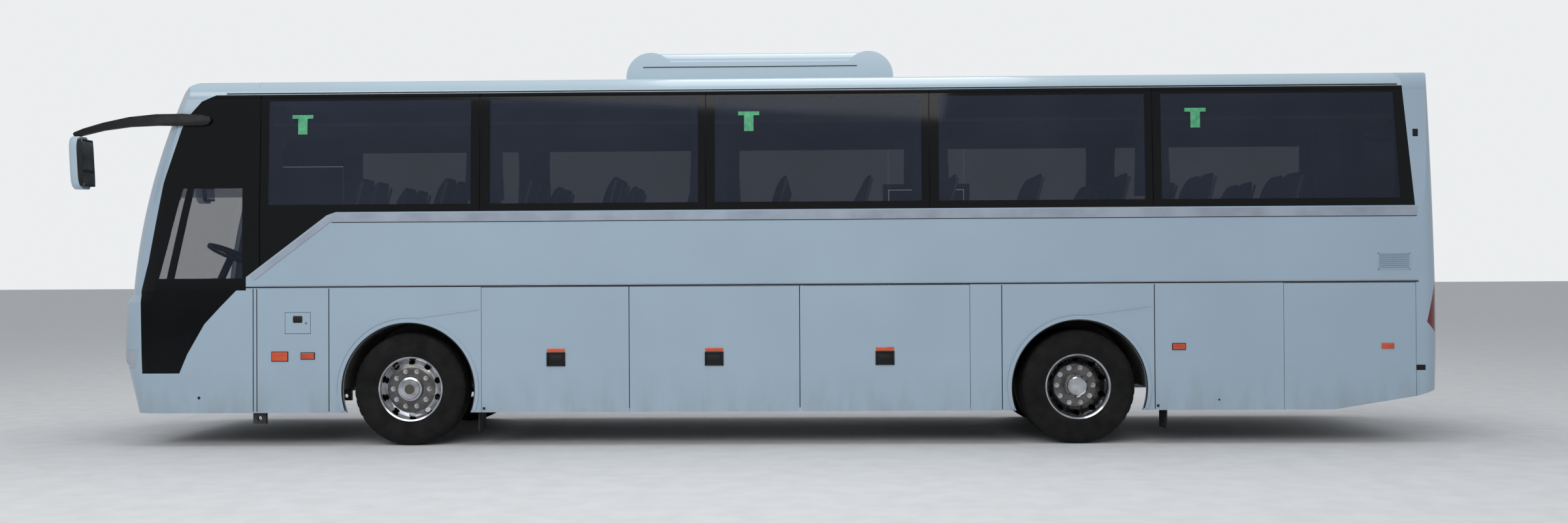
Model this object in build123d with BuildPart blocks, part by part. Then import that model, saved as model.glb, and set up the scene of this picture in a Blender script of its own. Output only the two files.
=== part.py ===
from build123d import *
from math import cos, radians, sin
import os

os.makedirs("parts", exist_ok=True)

# A twelve metre high floor coach, all sizes in millimetres.
# Front toward -X, driver's side at -Y, ground at Z 0.
# The origin is on the ground under the middle of the coach with its mirrors.

# Overall sizes of the body
wheelbase = 6150
front_overhang = 2800
rear_overhang = 3290
body_width = 2550
mirror_reach = 330
roof_lean = 43
crown_z = 3450
cant_z = 3215
cant_drop = 65
cant_inset = 147
skirt_z = 310
belt_z = 1460
sill_z = 2158
header_z = 3251
wall = 45
glass = 8
gap = 8
seal = 12

# Lines worked out from those sizes
length = front_overhang + wheelbase + rear_overhang
front_x = (mirror_reach - length) / 2
rear_x = front_x + length
front_axle_x = front_x + front_overhang
rear_axle_x = front_axle_x + wheelbase
half_width = body_width / 2
roof_edge_z = crown_z - cant_drop

# Wheels and steering
tyre_radius = 520
tyre_width = 295
twin_spacing = 330
track_half = 1085
arch_radius = 612
kingpin_y = 930

# Hollow of the coach
floor_z = 1400
floor_thickness = 50
cab_floor_z = 1000
hold_floor_z = 380
saloon_front_x = front_x + 1330
rail_y = 430
rail_width = 80
rail_z = 640
rail_height = 150

# Outline of the body in plan, one row for each height: the front's X at the centre line,
# the rear's X there, and the radius of the front corners
# columns: z, front, rear, corner
lower_rows = [
    (skirt_z, front_x + 150, rear_x - 15, 240),
    (850, front_x, rear_x, 290),
    (1330, front_x + 20, rear_x, 300),
    (1400, front_x + 75, rear_x, 300),
]
upper_rows = [
    (1400, front_x + 75, rear_x, 300),
    (2350, front_x + 235, rear_x - 25, 300),
    (3500, front_x + 660, rear_x - 75, 300),
]
front_bow = 60
rear_bow = 25
rear_corner = 150


def arc_through(start, middle, end):
    """Draw an arc through three points of the plan or profile in hand."""
    ThreePointArc(start, middle, end)


def plan_outline(z, front, rear, corner, inset):
    """Draw the coach's outline at one height as a closed sketch."""
    hw = half_width - inset
    nose = front + inset
    tail = rear - inset
    r = corner - inset
    q = rear_corner - inset
    bend = 1 - cos(radians(45))
    with BuildSketch(Plane.XY.offset(z)) as outline:
        with BuildLine():
            arc_through((nose + front_bow, -hw + r), (nose, 0), (nose + front_bow, hw - r))
            arc_through(
                (nose + front_bow, hw - r),
                (nose + front_bow + r * bend, hw - r * bend),
                (nose + front_bow + r, hw),
            )
            Line((nose + front_bow + r, hw), (tail - rear_bow - q, hw))
            arc_through(
                (tail - rear_bow - q, hw),
                (tail - rear_bow - q * bend, hw - q * bend),
                (tail - rear_bow, hw - q),
            )
            arc_through((tail - rear_bow, hw - q), (tail, 0), (tail - rear_bow, -hw + q))
            arc_through(
                (tail - rear_bow, -hw + q),
                (tail - rear_bow - q * bend, -hw + q * bend),
                (tail - rear_bow - q, -hw),
            )
            Line((tail - rear_bow - q, -hw), (nose + front_bow + r, -hw))
            arc_through(
                (nose + front_bow + r, -hw),
                (nose + front_bow + r * bend, -hw + r * bend),
                (nose + front_bow, -hw + r),
            )
        make_face()
    return outline.sketch


def upper_form(inset):
    """The part of the body above the waist seam, curved in one piece."""
    with BuildPart() as upper:
        for row in upper_rows:
            add(plan_outline(*row, inset))
        loft()
    return upper.part


def body_solid(inset):
    """The coach's outer form, drawn in by inset on every side."""
    hw = half_width - inset
    top_hw = hw - roof_lean
    low_z = sill_z - (cant_z - sill_z) / 2
    low_hw = hw + roof_lean / 2
    edge_y = half_width - roof_lean - cant_inset - inset * 0.4
    edge_z = roof_edge_z - inset
    corner_y = top_hw - 0.25 * (top_hw - edge_y)
    corner_z = edge_z - 0.28 * (edge_z - cant_z)
    with BuildPart() as body:
        for row in lower_rows:
            add(plan_outline(*row, inset))
        loft(ruled=True)
        add(upper_form(inset))
        with BuildSketch(Plane.YZ):
            with BuildLine():
                Polyline(
                    (-top_hw, cant_z),
                    (-low_hw, low_z),
                    (-low_hw, skirt_z),
                    (low_hw, skirt_z),
                    (low_hw, low_z),
                    (top_hw, cant_z),
                )
                arc_through((top_hw, cant_z), (corner_y, corner_z), (edge_y, edge_z))
                arc_through((edge_y, edge_z), (0, crown_z - inset), (-edge_y, edge_z))
                arc_through((-edge_y, edge_z), (-corner_y, corner_z), (-top_hw, cant_z))
            make_face()
        extrude(amount=length, both=True, mode=Mode.INTERSECT)
        with BuildSketch(Plane.XZ):
            with BuildLine():
                arc_through(
                    (front_x + 480 + inset, 3010),
                    (front_x + 670 + inset * 0.7, 3285 - inset * 0.7),
                    (front_x + 1120, crown_z + 15 - inset),
                )
                Line((front_x + 1120, crown_z + 15 - inset), (rear_x - 240, crown_z + 15 - inset))
                arc_through(
                    (rear_x - 240, crown_z + 15 - inset),
                    (rear_x - 95 - inset * 0.7, crown_z - 55 - inset * 0.7),
                    (rear_x - 40 - inset, crown_z - 200),
                )
                Polyline(
                    (rear_x - 40 - inset, crown_z - 200),
                    (rear_x + 100, crown_z - 400),
                    (rear_x + 100, 530),
                    (rear_x - 245, 430),
                    (rear_x - 990, skirt_z),
                    (front_x - 100, skirt_z),
                    (front_x - 100, 2400),
                    (front_x + 480 + inset, 3010),
                )
            make_face()
        extrude(amount=half_width * 2, both=True, mode=Mode.INTERSECT)
    return body.part


outer_form = body_solid(0)
glass_form = body_solid(glass)
inner_form = body_solid(wall)


def block(x, y, z, mode=Mode.ADD):
    """A square block between two values of x, of y and of z."""
    with Locations(((x[0] + x[1]) / 2, (y[0] + y[1]) / 2, (z[0] + z[1]) / 2)):
        Box(x[1] - x[0], y[1] - y[0], z[1] - z[0], mode=mode)


def side_profile(points, y, mode=Mode.INTERSECT):
    """A shape seen from the side, cut through the coach between two values of y."""
    with BuildSketch(Plane.XZ.offset(-y[1])) as shape:
        with BuildLine():
            Polyline(*points, close=True)
        make_face()
    extrude(shape.sketch, amount=y[1] - y[0], mode=mode)


def tube_y(x, z, radius, y, mode=Mode.ADD):
    """A round bar that lies across the coach between two values of y."""
    with BuildSketch(Plane.XZ.offset(-y[1])) as ring:
        with Locations((x, z)):
            Circle(radius)
    extrude(ring.sketch, amount=y[1] - y[0], mode=mode)


def tube_z(x, y, radius, z, mode=Mode.ADD):
    """A round bar that stands up between two values of z."""
    with BuildSketch(Plane.XY.offset(z[0])) as ring:
        with Locations((x, y)):
            Circle(radius)
    extrude(ring.sketch, amount=z[1] - z[0], mode=mode)


def between(side, inner, outer):
    """Order two distances from the middle line for one side of the coach."""
    return (side * inner, side * outer) if side > 0 else (side * outer, side * inner)


def save(part, name):
    """Label a finished piece and write it to its own file."""
    part.label = name
    export_step(part, f"parts/{name}.step")


# Where the panels of the sides meet
cap_line = [
    (front_x + 1005, header_z),
    (front_x + 870, 3195),
    (front_x + 735, 3045),
    (front_x + 686, 2943),
    (front_x + 520, 2433),
    (front_x + 379, 1704),
    (front_x + 305, 1440),
    (front_x + 323, 677),
    (front_x + 389, skirt_z - 10),
]
roof_line = [point for point in cap_line if point[1] > 3000]
tail_line = [
    (rear_x - 382, crown_z + 50),
    (rear_x - 341, header_z),
    (rear_x - 248, sill_z),
    (rear_x - 248, skirt_z),
]
waist_front_x = front_x + 1294
waist_step_z = 1563
waist_knee = (front_x + 2046, 2128)
waist_top_x = front_x + 2130
bumper_z = 1001
rear_bumper_z = 901
cab_panel_x = front_x + 1355

# Seams between the lower panels, from the front
hold_x = front_axle_x + 674
flap_seam_a = front_axle_x + 2040
flap_seam_b = front_axle_x + 3604
hold_end_x = front_axle_x + 5161
rear_arch_front_x = rear_axle_x - 701
service_x = rear_axle_x + 1849
rear_side_x = rear_x - 248
middle_door_x = (rear_axle_x - 1594, rear_axle_x - 770)
middle_door_top = 2480
front_door_top = 2780
door_sill_z = 390
right_hold_end_x = middle_door_x[0] - 56
front_door_x = (front_x + 200, cab_panel_x)

# columns: side (-1 is the driver's), start, end, name
flap_rows = [
    (-1, hold_x, flap_seam_a, "flap_left_front"),
    (-1, flap_seam_a, flap_seam_b, "flap_left_middle"),
    (-1, flap_seam_b, hold_end_x, "flap_left_rear"),
    (1, hold_x, flap_seam_a, "flap_right_front"),
    (1, flap_seam_a, flap_seam_b, "flap_right_middle"),
    (1, flap_seam_b, right_hold_end_x, "flap_right_rear"),
    (-1, service_x, rear_side_x, "service_flap_left"),
    (1, service_x, rear_side_x, "service_flap_right"),
]

# Side panes as bonded outside, joint to joint, with the clear part of each
# columns: glass start, glass end, clear start, clear end
pane_rows = [
    (front_x + 1424, front_x + 3464, front_x + 1502, front_x + 3380),
    (front_x + 3464, front_x + 5550, front_x + 3559, front_x + 5479),
    (front_x + 5550, front_x + 7600, front_x + 5633, front_x + 7527),
    (front_x + 7600, front_x + 9631, front_x + 7686, front_x + 9563),
    (front_x + 9631, rear_x - 230, front_x + 9711, rear_x - 420),
]
clear_z = (2228, 3192)
cab_glass = [
    (front_x + 797, 2393),
    (front_x + 1272, 2393),
    (front_x + 1272, 1540),
    (front_x + 606, 1540),
]
quarter_glass = [
    (front_x + 692, 2393),
    (front_x + 750, 2393),
    (front_x + 555, 1540),
    (front_x + 460, 1540),
]


def front_door_outline(margin):
    """The front door seen from the side, drawn in by margin."""
    return [
        (front_x + 633 + margin * 1.05, front_door_top - margin),
        (front_x + 520 + margin * 1.05, 2433),
        (front_x + 379 + margin * 1.05, 1704),
        (front_x + 305 + margin * 1.05, 1440),
        (front_x + 323 + margin * 1.05, 677),
        (front_x + 370 + margin * 1.05, door_sill_z + margin),
        (cab_panel_x - margin, door_sill_z + margin),
        (cab_panel_x - margin, front_door_top - margin),
    ]


def middle_door_outline(margin):
    """The middle door seen from the side, drawn in by margin."""
    return [
        (middle_door_x[0] + margin, door_sill_z + margin),
        (middle_door_x[1] - margin, door_sill_z + margin),
        (middle_door_x[1] - margin, middle_door_top - margin),
        (middle_door_x[0] + margin, middle_door_top - margin),
    ]


def flap_outline(start, end, margin):
    """A flap of the lower side seen from the side, drawn in by margin."""
    return [
        (start + margin, skirt_z - 10),
        (end - margin, skirt_z - 10),
        (end - margin, belt_z - margin),
        (start + margin, belt_z - margin),
    ]


fuel_flap_x = (front_x + 1655, front_x + 1897)
fuel_flap_z = (1037, 1237)


def fuel_outline(margin):
    """The fuel flap seen from the side, drawn in by margin."""
    return [
        (fuel_flap_x[0] + margin, fuel_flap_z[0] + margin),
        (fuel_flap_x[1] - margin, fuel_flap_z[0] + margin),
        (fuel_flap_x[1] - margin, fuel_flap_z[1] - margin),
        (fuel_flap_x[0] + margin, fuel_flap_z[1] - margin),
    ]


waist_outline = [
    (waist_front_x, belt_z),
    (waist_front_x, waist_step_z),
    waist_knee,
    (waist_top_x, sill_z),
    (rear_side_x, sill_z),
    (rear_side_x, belt_z),
]
dark_outline = roof_line + cap_line[3:7] + [
    (waist_front_x, 1440),
    (waist_front_x, waist_step_z),
    waist_knee,
    (waist_top_x, sill_z),
    (rear_side_x, sill_z),
    (rear_x - 341, header_z),
]
cab_panel_outline = [
    (front_x + 305, 1440),
    (front_x + 1204, 1440),
    (front_x + 1065, 1300),
    (front_x + 906, 1130),
    (front_x + 746, 853),
    (front_x + 672, 677),
    (front_x + 323, 677),
]
lower_outline = [
    (front_x + 305, 1440),
    (waist_front_x, 1440),
    (waist_front_x, belt_z),
    (rear_side_x, belt_z),
    (rear_side_x, skirt_z - 10),
    (front_x + 389, skirt_z - 10),
    (front_x + 323, 677),
]
front_outline = cap_line[2:] + [(front_x - 200, skirt_z - 10), (front_x - 200, 3045)]
left_y = (-half_width - 50, -600)
right_y = (600, half_width + 50)
both_y = (-half_width - 50, half_width + 50)

# The two layers of the body: the bonded outer skin and the structure behind it
with BuildPart() as whole_shell:
    add(outer_form)
    add(inner_form, mode=Mode.SUBTRACT)
with BuildPart() as skin_shell:
    add(outer_form)
    add(glass_form, mode=Mode.SUBTRACT)
with BuildPart() as frame_shell:
    add(glass_form)
    add(inner_form, mode=Mode.SUBTRACT)
side_bands = {-1: left_y, 1: right_y}

# Lower side panels with the wheel arches, the flap openings and the door openings
with BuildPart() as lower_sides:
    add(whole_shell.part)
    side_profile(lower_outline, both_y)
    block((front_x - 50, rear_x + 50), (-600, 600), (skirt_z - 50, belt_z + 50), mode=Mode.SUBTRACT)
    for axle_x in (front_axle_x, rear_axle_x):
        tube_y(axle_x, tyre_radius, arch_radius, both_y, mode=Mode.SUBTRACT)
    for side, start, end, name in flap_rows:
        side_profile(flap_outline(start, end, 0), side_bands[side], mode=Mode.SUBTRACT)
    side_profile(fuel_outline(0), left_y, mode=Mode.SUBTRACT)
    block(front_door_x, right_y, (door_sill_z, front_door_top), mode=Mode.SUBTRACT)
    side_profile(middle_door_outline(0), right_y, mode=Mode.SUBTRACT)
    side_profile(cab_panel_outline, left_y, mode=Mode.SUBTRACT)
save(lower_sides.part, "lower_sides")

# Dark panel under the driver's window
with BuildPart() as cab_side_panel:
    add(whole_shell.part)
    side_profile(cab_panel_outline, left_y)
save(cab_side_panel.part, "cab_side_panel")

# White waist panels between the lower panels and the side glass
with BuildPart() as waist_panels:
    add(whole_shell.part)
    side_profile(waist_outline, both_y)
    block((front_x - 50, rear_x + 50), (-600, 600), (belt_z - 50, sill_z + 50), mode=Mode.SUBTRACT)
    block(front_door_x, right_y, (door_sill_z, front_door_top), mode=Mode.SUBTRACT)
    side_profile(middle_door_outline(0), right_y, mode=Mode.SUBTRACT)
save(waist_panels.part, "waist_panels")

# Joints where a section over a door meets the sections beside it
door_joint = 2
with BuildPart() as door_joints:
    for joint_x in (cab_panel_x + door_joint / 2, middle_door_x[0], middle_door_x[1]):
        block((joint_x - door_joint / 2, joint_x + door_joint / 2), right_y, (middle_door_top - 30, crown_z))

# Window posts and rails behind the bonded glass, with a frame round the middle door
door_post = 60

# The post between the driver's two panes is planed flat inside
driver_post_x = (front_x + 420, front_x + 660)
driver_post_y = half_width - wall + 6
driver_post_z = (sill_z - 190, sill_z + 190)
with BuildPart() as pane_cuts:
    for start, end, clear_start, clear_end in pane_rows:
        block((clear_start, clear_end), both_y, clear_z)
    block(
        (middle_door_x[0] - door_post, middle_door_x[1] + door_post),
        right_y,
        (clear_z[0] - door_post, middle_door_top + door_post),
        mode=Mode.SUBTRACT,
    )
with BuildPart() as window_walls:
    add(frame_shell.part)
    side_profile(dark_outline, both_y)
    block((front_x - 50, rear_x + 50), (-600, 600), (belt_z - 50, header_z + 50), mode=Mode.SUBTRACT)
    add(pane_cuts.part, mode=Mode.SUBTRACT)
    side_profile(cab_glass, left_y, mode=Mode.SUBTRACT)
    side_profile(quarter_glass, left_y, mode=Mode.SUBTRACT)
    block(front_door_x, right_y, (door_sill_z, front_door_top), mode=Mode.SUBTRACT)
    side_profile(middle_door_outline(0), right_y, mode=Mode.SUBTRACT)
    block(driver_post_x, (-driver_post_y, 0), driver_post_z, mode=Mode.SUBTRACT)
    add(door_joints.part, mode=Mode.SUBTRACT)
save(window_walls.part, "window_walls")

# Bonded side glass, one pane from joint to joint, with the cab's panel in front
with BuildPart() as side_glass:
    add(skin_shell.part)
    side_profile(dark_outline, both_y)
    block((front_x - 50, rear_x + 50), (-600, 600), (belt_z - 50, header_z + 50), mode=Mode.SUBTRACT)
    for start, end, clear_start, clear_end in pane_rows:
        block((start - seal / 2, start + seal / 2), both_y, (belt_z, header_z), mode=Mode.SUBTRACT)
    block(front_door_x, right_y, (door_sill_z, front_door_top), mode=Mode.SUBTRACT)
    side_profile(middle_door_outline(0), right_y, mode=Mode.SUBTRACT)
    add(door_joints.part, mode=Mode.SUBTRACT)
save(side_glass.part, "side_glass")

# Roof with its front curve and two hatch openings
hatch_half_x = 300
hatch_half_y = 260
hatch_rows = [(front_x + 2570, "roof_hatch_front"), (rear_x - 2100, "roof_hatch_rear")]
with BuildPart() as roof:
    add(whole_shell.part)
    side_profile(
        roof_line
        + [
            (front_x - 200, roof_line[-1][1]),
            (front_x - 200, crown_z + 50),
            tail_line[0],
            tail_line[1],
        ],
        both_y,
    )
    for hatch_x, name in hatch_rows:
        block(
            (hatch_x - hatch_half_x, hatch_x + hatch_half_x),
            (-hatch_half_y, hatch_half_y),
            (header_z, crown_z + 50),
            mode=Mode.SUBTRACT,
        )
save(roof.part, "roof")

# Lamps let into the skin at both ends
headlamp_outline = [
    (front_x + 300, 900),
    (front_x - 50, 900),
    (front_x - 50, 720),
    (front_x + 240, 720),
]
with BuildPart() as headlamps:
    add(skin_shell.part)
    side_profile(headlamp_outline, both_y)
    block((front_x - 50, front_x + 600), (-680, 680), (600, 1000), mode=Mode.SUBTRACT)
save(headlamps.part, "headlamps")

tail_lamp_outline = [
    (rear_x + 60, 1651),
    (rear_x - 8, 1651),
    (rear_x - 150, 1100),
    (rear_x - 60, 1005),
    (rear_x + 60, 1000),
]
with BuildPart() as tail_lamps:
    add(skin_shell.part)
    side_profile(tail_lamp_outline, both_y)
    block((rear_x - 250, rear_x + 50), (-1010, 1010), (900, 1700), mode=Mode.SUBTRACT)
save(tail_lamps.part, "tail_lamps")

# Front mask with the corner pillars around the windscreen
screen_half = half_width - 215
screen_z = (1405, 3045)
with BuildPart() as front_mask:
    add(whole_shell.part)
    side_profile(front_outline, both_y)
    block((front_x - 50, front_x + 2000), both_y, (skirt_z - 50, bumper_z), mode=Mode.SUBTRACT)
    block((front_x - 50, front_x + 2000), (-screen_half, screen_half), screen_z, mode=Mode.SUBTRACT)
save(front_mask.part, "front_mask")

with BuildPart() as windscreen:
    add(skin_shell.part)
    side_profile(front_outline, both_y)
    block((front_x - 50, front_x + 2000), (-screen_half, screen_half), screen_z, mode=Mode.INTERSECT)
save(windscreen.part, "windscreen")

with BuildPart() as front_bumper:
    add(whole_shell.part)
    side_profile(front_outline, both_y)
    block((front_x - 50, front_x + 2000), both_y, (skirt_z - 50, bumper_z), mode=Mode.INTERSECT)
    add(headlamps.part, mode=Mode.SUBTRACT)
save(front_bumper.part, "front_bumper")

# Rear wall with the rear window and the engine lid's opening
tail_outline = tail_line + [(rear_x + 200, skirt_z), (rear_x + 200, crown_z + 50)]
rear_window_half = 960
rear_window_z = (2250, 3080)
engine_lid_half = 930
engine_lid_z = (rear_bumper_z + 30, 2100)
with BuildPart() as rear_wall:
    add(whole_shell.part)
    side_profile(tail_outline, both_y)
    block((rear_x - 800, rear_x + 50), both_y, (skirt_z - 50, rear_bumper_z), mode=Mode.SUBTRACT)
    block(
        (rear_x - 150, rear_x + 50),
        (-rear_window_half, rear_window_half),
        rear_window_z,
        mode=Mode.SUBTRACT,
    )
    block(
        (rear_x - 150, rear_x + 50),
        (-engine_lid_half, engine_lid_half),
        engine_lid_z,
        mode=Mode.SUBTRACT,
    )
    add(tail_lamps.part, mode=Mode.SUBTRACT)
save(rear_wall.part, "rear_wall")

with BuildPart() as rear_window:
    add(skin_shell.part)
    block(
        (rear_x - 150, rear_x + 50),
        (-rear_window_half, rear_window_half),
        rear_window_z,
        mode=Mode.INTERSECT,
    )
save(rear_window.part, "rear_window")

with BuildPart() as engine_lid:
    add(whole_shell.part)
    block(
        (rear_x - 150, rear_x + 50),
        (-engine_lid_half + gap, engine_lid_half - gap),
        (engine_lid_z[0] + gap, engine_lid_z[1] - gap),
        mode=Mode.INTERSECT,
    )
save(engine_lid.part, "engine_lid")

with BuildPart() as rear_bumper:
    add(whole_shell.part)
    side_profile(tail_outline, both_y)
    block((rear_x - 800, rear_x + 50), both_y, (skirt_z - 50, rear_bumper_z), mode=Mode.INTERSECT)
save(rear_bumper.part, "rear_bumper")

# Flaps of the lower sides
for side, start, end, name in flap_rows:
    with BuildPart() as flap:
        add(whole_shell.part)
        side_profile(flap_outline(start, end, gap / 2), side_bands[side])
    save(flap.part, name)

with BuildPart() as fuel_flap:
    add(whole_shell.part)
    side_profile(fuel_outline(gap / 2), left_y)
save(fuel_flap.part, "fuel_flap")

# Doors that swing out on arms and stay parallel to the side
door_frame = 75
door_arm_length = 560
door_post_y = half_width - 165
post_radius = 24
arm_half = 20
arm_eye_radius = 34
pin_radius = 12
pin_clearance = 0.05
arm_slack = 0.5
arm_levels = (860, 1900)
first_tread_z = 440
door_post_top = 2300
front_post_x = front_x + 640
middle_post_x = middle_door_x[1] - 75
# columns: outline, hinge post x, way the arm points, name
door_rows = [
    (front_door_outline, front_post_x, 1, "door_front"),
    (middle_door_outline, middle_post_x, -1, "door_middle"),
]
for outline, post_x, way, name in door_rows:
    pin_x = post_x + way * door_arm_length
    with BuildPart() as door:
        add(frame_shell.part)
        side_profile(outline(gap), right_y)
        side_profile(outline(gap + door_frame), right_y, mode=Mode.SUBTRACT)
        block((post_x - 700, cab_panel_x + 12000), right_y, (1330, 1330 + door_frame))
        add(frame_shell.part, mode=Mode.INTERSECT)
        side_profile(outline(gap), right_y)
    with BuildPart() as leaf:
        add(skin_shell.part)
        side_profile(outline(gap), right_y)
    with BuildPart() as door_leaf:
        add(door.part)
        add(leaf.part)
        for level in arm_levels:
            for low, high in ((level - 30, level - 10), (level + 10, level + 30)):
                block(
                    (pin_x - 30, pin_x + 30),
                    (door_post_y - 40, half_width - wall + 2),
                    (low, high),
                )
            block(
                (pin_x - 30, pin_x + 30),
                (half_width - wall - 15, half_width - wall + 5),
                (level - 30, level + 30),
            )
            tube_z(pin_x, door_post_y, pin_radius, (level - 30, level + 30))
    save(door_leaf.part, name)
    with BuildPart() as arm:
        tube_z(post_x, door_post_y, post_radius, (first_tread_z + arm_slack, door_post_top))
        for level in arm_levels:
            z = (level - 10 + arm_slack, level + 10 - arm_slack)
            block(
                (min(post_x, pin_x), max(post_x, pin_x)),
                (door_post_y - arm_half, door_post_y + arm_half),
                z,
            )
            tube_z(pin_x, door_post_y, arm_eye_radius, z)
            tube_z(pin_x, door_post_y, pin_radius + pin_clearance, z, mode=Mode.SUBTRACT)
    save(arm.part, name + "_arm")

# Roof hatches and the air conditioner between them
for hatch_x, name in hatch_rows:
    with BuildPart() as hatch:
        block(
            (hatch_x - hatch_half_x + gap, hatch_x + hatch_half_x - gap),
            (-hatch_half_y + gap, hatch_half_y - gap),
            (crown_z - wall, crown_z + 20),
        )
        fillet(hatch.edges().filter_by(Axis.Z), radius=60)
        fillet(hatch.faces().sort_by(Axis.Z)[-1].edges(), radius=15)
    save(hatch.part, name)

unit_x = (front_x + 4779, rear_x - 4950)
unit_half_y = 900
unit_top_z = 3660
with BuildPart() as air_conditioner:
    with BuildSketch(Plane.XZ):
        with BuildLine():
            ThreePointArc(
                (unit_x[0], crown_z - 60),
                (unit_x[0] + 70, unit_top_z - 60),
                (unit_x[0] + 260, unit_top_z),
            )
            Line((unit_x[0] + 260, unit_top_z), (unit_x[1] - 260, unit_top_z))
            ThreePointArc(
                (unit_x[1] - 260, unit_top_z),
                (unit_x[1] - 70, unit_top_z - 60),
                (unit_x[1], crown_z - 60),
            )
            Line((unit_x[1], crown_z - 60), (unit_x[0], crown_z - 60))
        make_face()
    extrude(amount=unit_half_y, both=True)
    fillet(air_conditioner.edges().filter_by(Axis.X).group_by(Axis.Z)[-1], radius=90)
    add(outer_form, mode=Mode.SUBTRACT)
save(air_conditioner.part, "air_conditioner")

# Wheels: columns: side, axle x, body name
rim_half = 118
flange_radius = 302
flange_thickness = 12
barrel_thickness = 12
drop_radius = 286
spindle_radius = 45
spindle_clearance = 0.05
rim_inner = drop_radius - barrel_thickness
hub_bore = spindle_radius + spindle_clearance
front_wheels = [(-1, "front_left"), (1, "front_right")]
rear_wheels = [(-1, "rear_left"), (1, "rear_right")]


def rim_profile(centre, side, disc):
    """Half section of one rim: y from its centre outward, and radius."""
    points = [
        (-rim_half, rim_inner),
        (-rim_half, flange_radius),
        (-rim_half + flange_thickness, flange_radius),
        (-rim_half + flange_thickness, drop_radius),
        (rim_half - flange_thickness, drop_radius),
        (rim_half - flange_thickness, flange_radius),
        (rim_half, flange_radius),
        (rim_half, rim_inner),
    ] + disc
    return [(side * (centre + offset), radius) for offset, radius in points]


def wheel_of_revolution(axle_x, points):
    """Turn a half section about a wheel's axis."""
    with BuildSketch(Plane(
        origin=(axle_x, 0, tyre_radius),
        x_dir=(0, 1, 0),
        z_dir=(1, 0, 0),
    )) as half_section:
        with BuildLine():
            Polyline(*points, close=True)
        make_face()
    revolve(half_section.sketch, axis=Axis((axle_x, 0, tyre_radius), (0, 1, 0)))


def tyre_of_revolution(axle_x, centre, side):
    """One tyre: flat tread, rounded shoulders and bulged side walls."""
    half = tyre_width / 2
    bead = rim_half - flange_thickness
    with BuildSketch(Plane(
        origin=(axle_x, 0, tyre_radius),
        x_dir=(0, 1, 0),
        z_dir=(1, 0, 0),
    )) as half_section:
        with BuildLine():
            y = side * centre
            Polyline((y - bead, drop_radius), (y + bead, drop_radius), (y + bead, flange_radius))
            ThreePointArc((y + bead, flange_radius), (y + half, 400), (y + half - 12, 490))
            ThreePointArc((y + half - 12, 490), (y + half - 20, 511), (y + half - 42, tyre_radius))
            Line((y + half - 42, tyre_radius), (y - half + 42, tyre_radius))
            ThreePointArc((y - half + 42, tyre_radius), (y - half + 20, 511), (y - half + 12, 490))
            ThreePointArc((y - half + 12, 490), (y - half, 400), (y - bead, flange_radius))
            Line((y - bead, flange_radius), (y - bead, drop_radius))
        make_face()
    revolve(half_section.sketch, axis=Axis((axle_x, 0, tyre_radius), (0, 1, 0)))


# half sections of the discs, outer face first, columns: y from the rim's centre, radius
front_disc = [
    (rim_half - 30, rim_inner),
    (rim_half - 40, 252),
    (rim_half + 18, 205),
    (rim_half + 18, 118),
    (rim_half + 50, 112),
    (rim_half + 60, 95),
    (rim_half + 60, 0.0),
    (rim_half + 40, 0.0),
    (rim_half + 40, hub_bore),
    (-rim_half + 70, hub_bore),
    (-rim_half + 70, 108),
    (rim_half - 20, 112),
    (rim_half + 2, 200),
    (rim_half - 56, 250),
    (rim_half - 56, rim_inner),
]
dish = twin_spacing / 2
rear_disc = [
    (-80, rim_inner),
    (14 - dish, 225),
    (14 - dish, 118),
    (20, 110),
    (32, 90),
    (32, 0.0),
    (12, 0.0),
    (12, hub_bore),
    (-dish, hub_bore),
    (-dish, 240),
    (-100, rim_inner),
]
twin_disc = [
    (100, rim_inner),
    (dish, 240),
    (dish, hub_bore),
    (dish - 35, hub_bore),
    (dish - 35, 110),
    (dish - 14, 118),
    (dish - 14, 225),
    (80, rim_inner),
]
twin_inner_y = track_half - twin_spacing - rim_half
for side, name in front_wheels:
    with BuildPart() as rim:
        wheel_of_revolution(front_axle_x, rim_profile(track_half, side, front_disc))
    save(rim.part, "rim_" + name)
    with BuildPart() as tyre:
        tyre_of_revolution(front_axle_x, track_half, side)
    save(tyre.part, "tyre_" + name)
for side, name in rear_wheels:
    with BuildPart() as rim:
        wheel_of_revolution(rear_axle_x, rim_profile(track_half, side, rear_disc))
        wheel_of_revolution(rear_axle_x, rim_profile(track_half - twin_spacing, side, twin_disc))
    save(rim.part, "rim_" + name)
    with BuildPart() as tyre:
        tyre_of_revolution(rear_axle_x, track_half, side)
        tyre_of_revolution(rear_axle_x, track_half - twin_spacing, side)
    save(tyre.part, "tyre_" + name)

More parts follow.
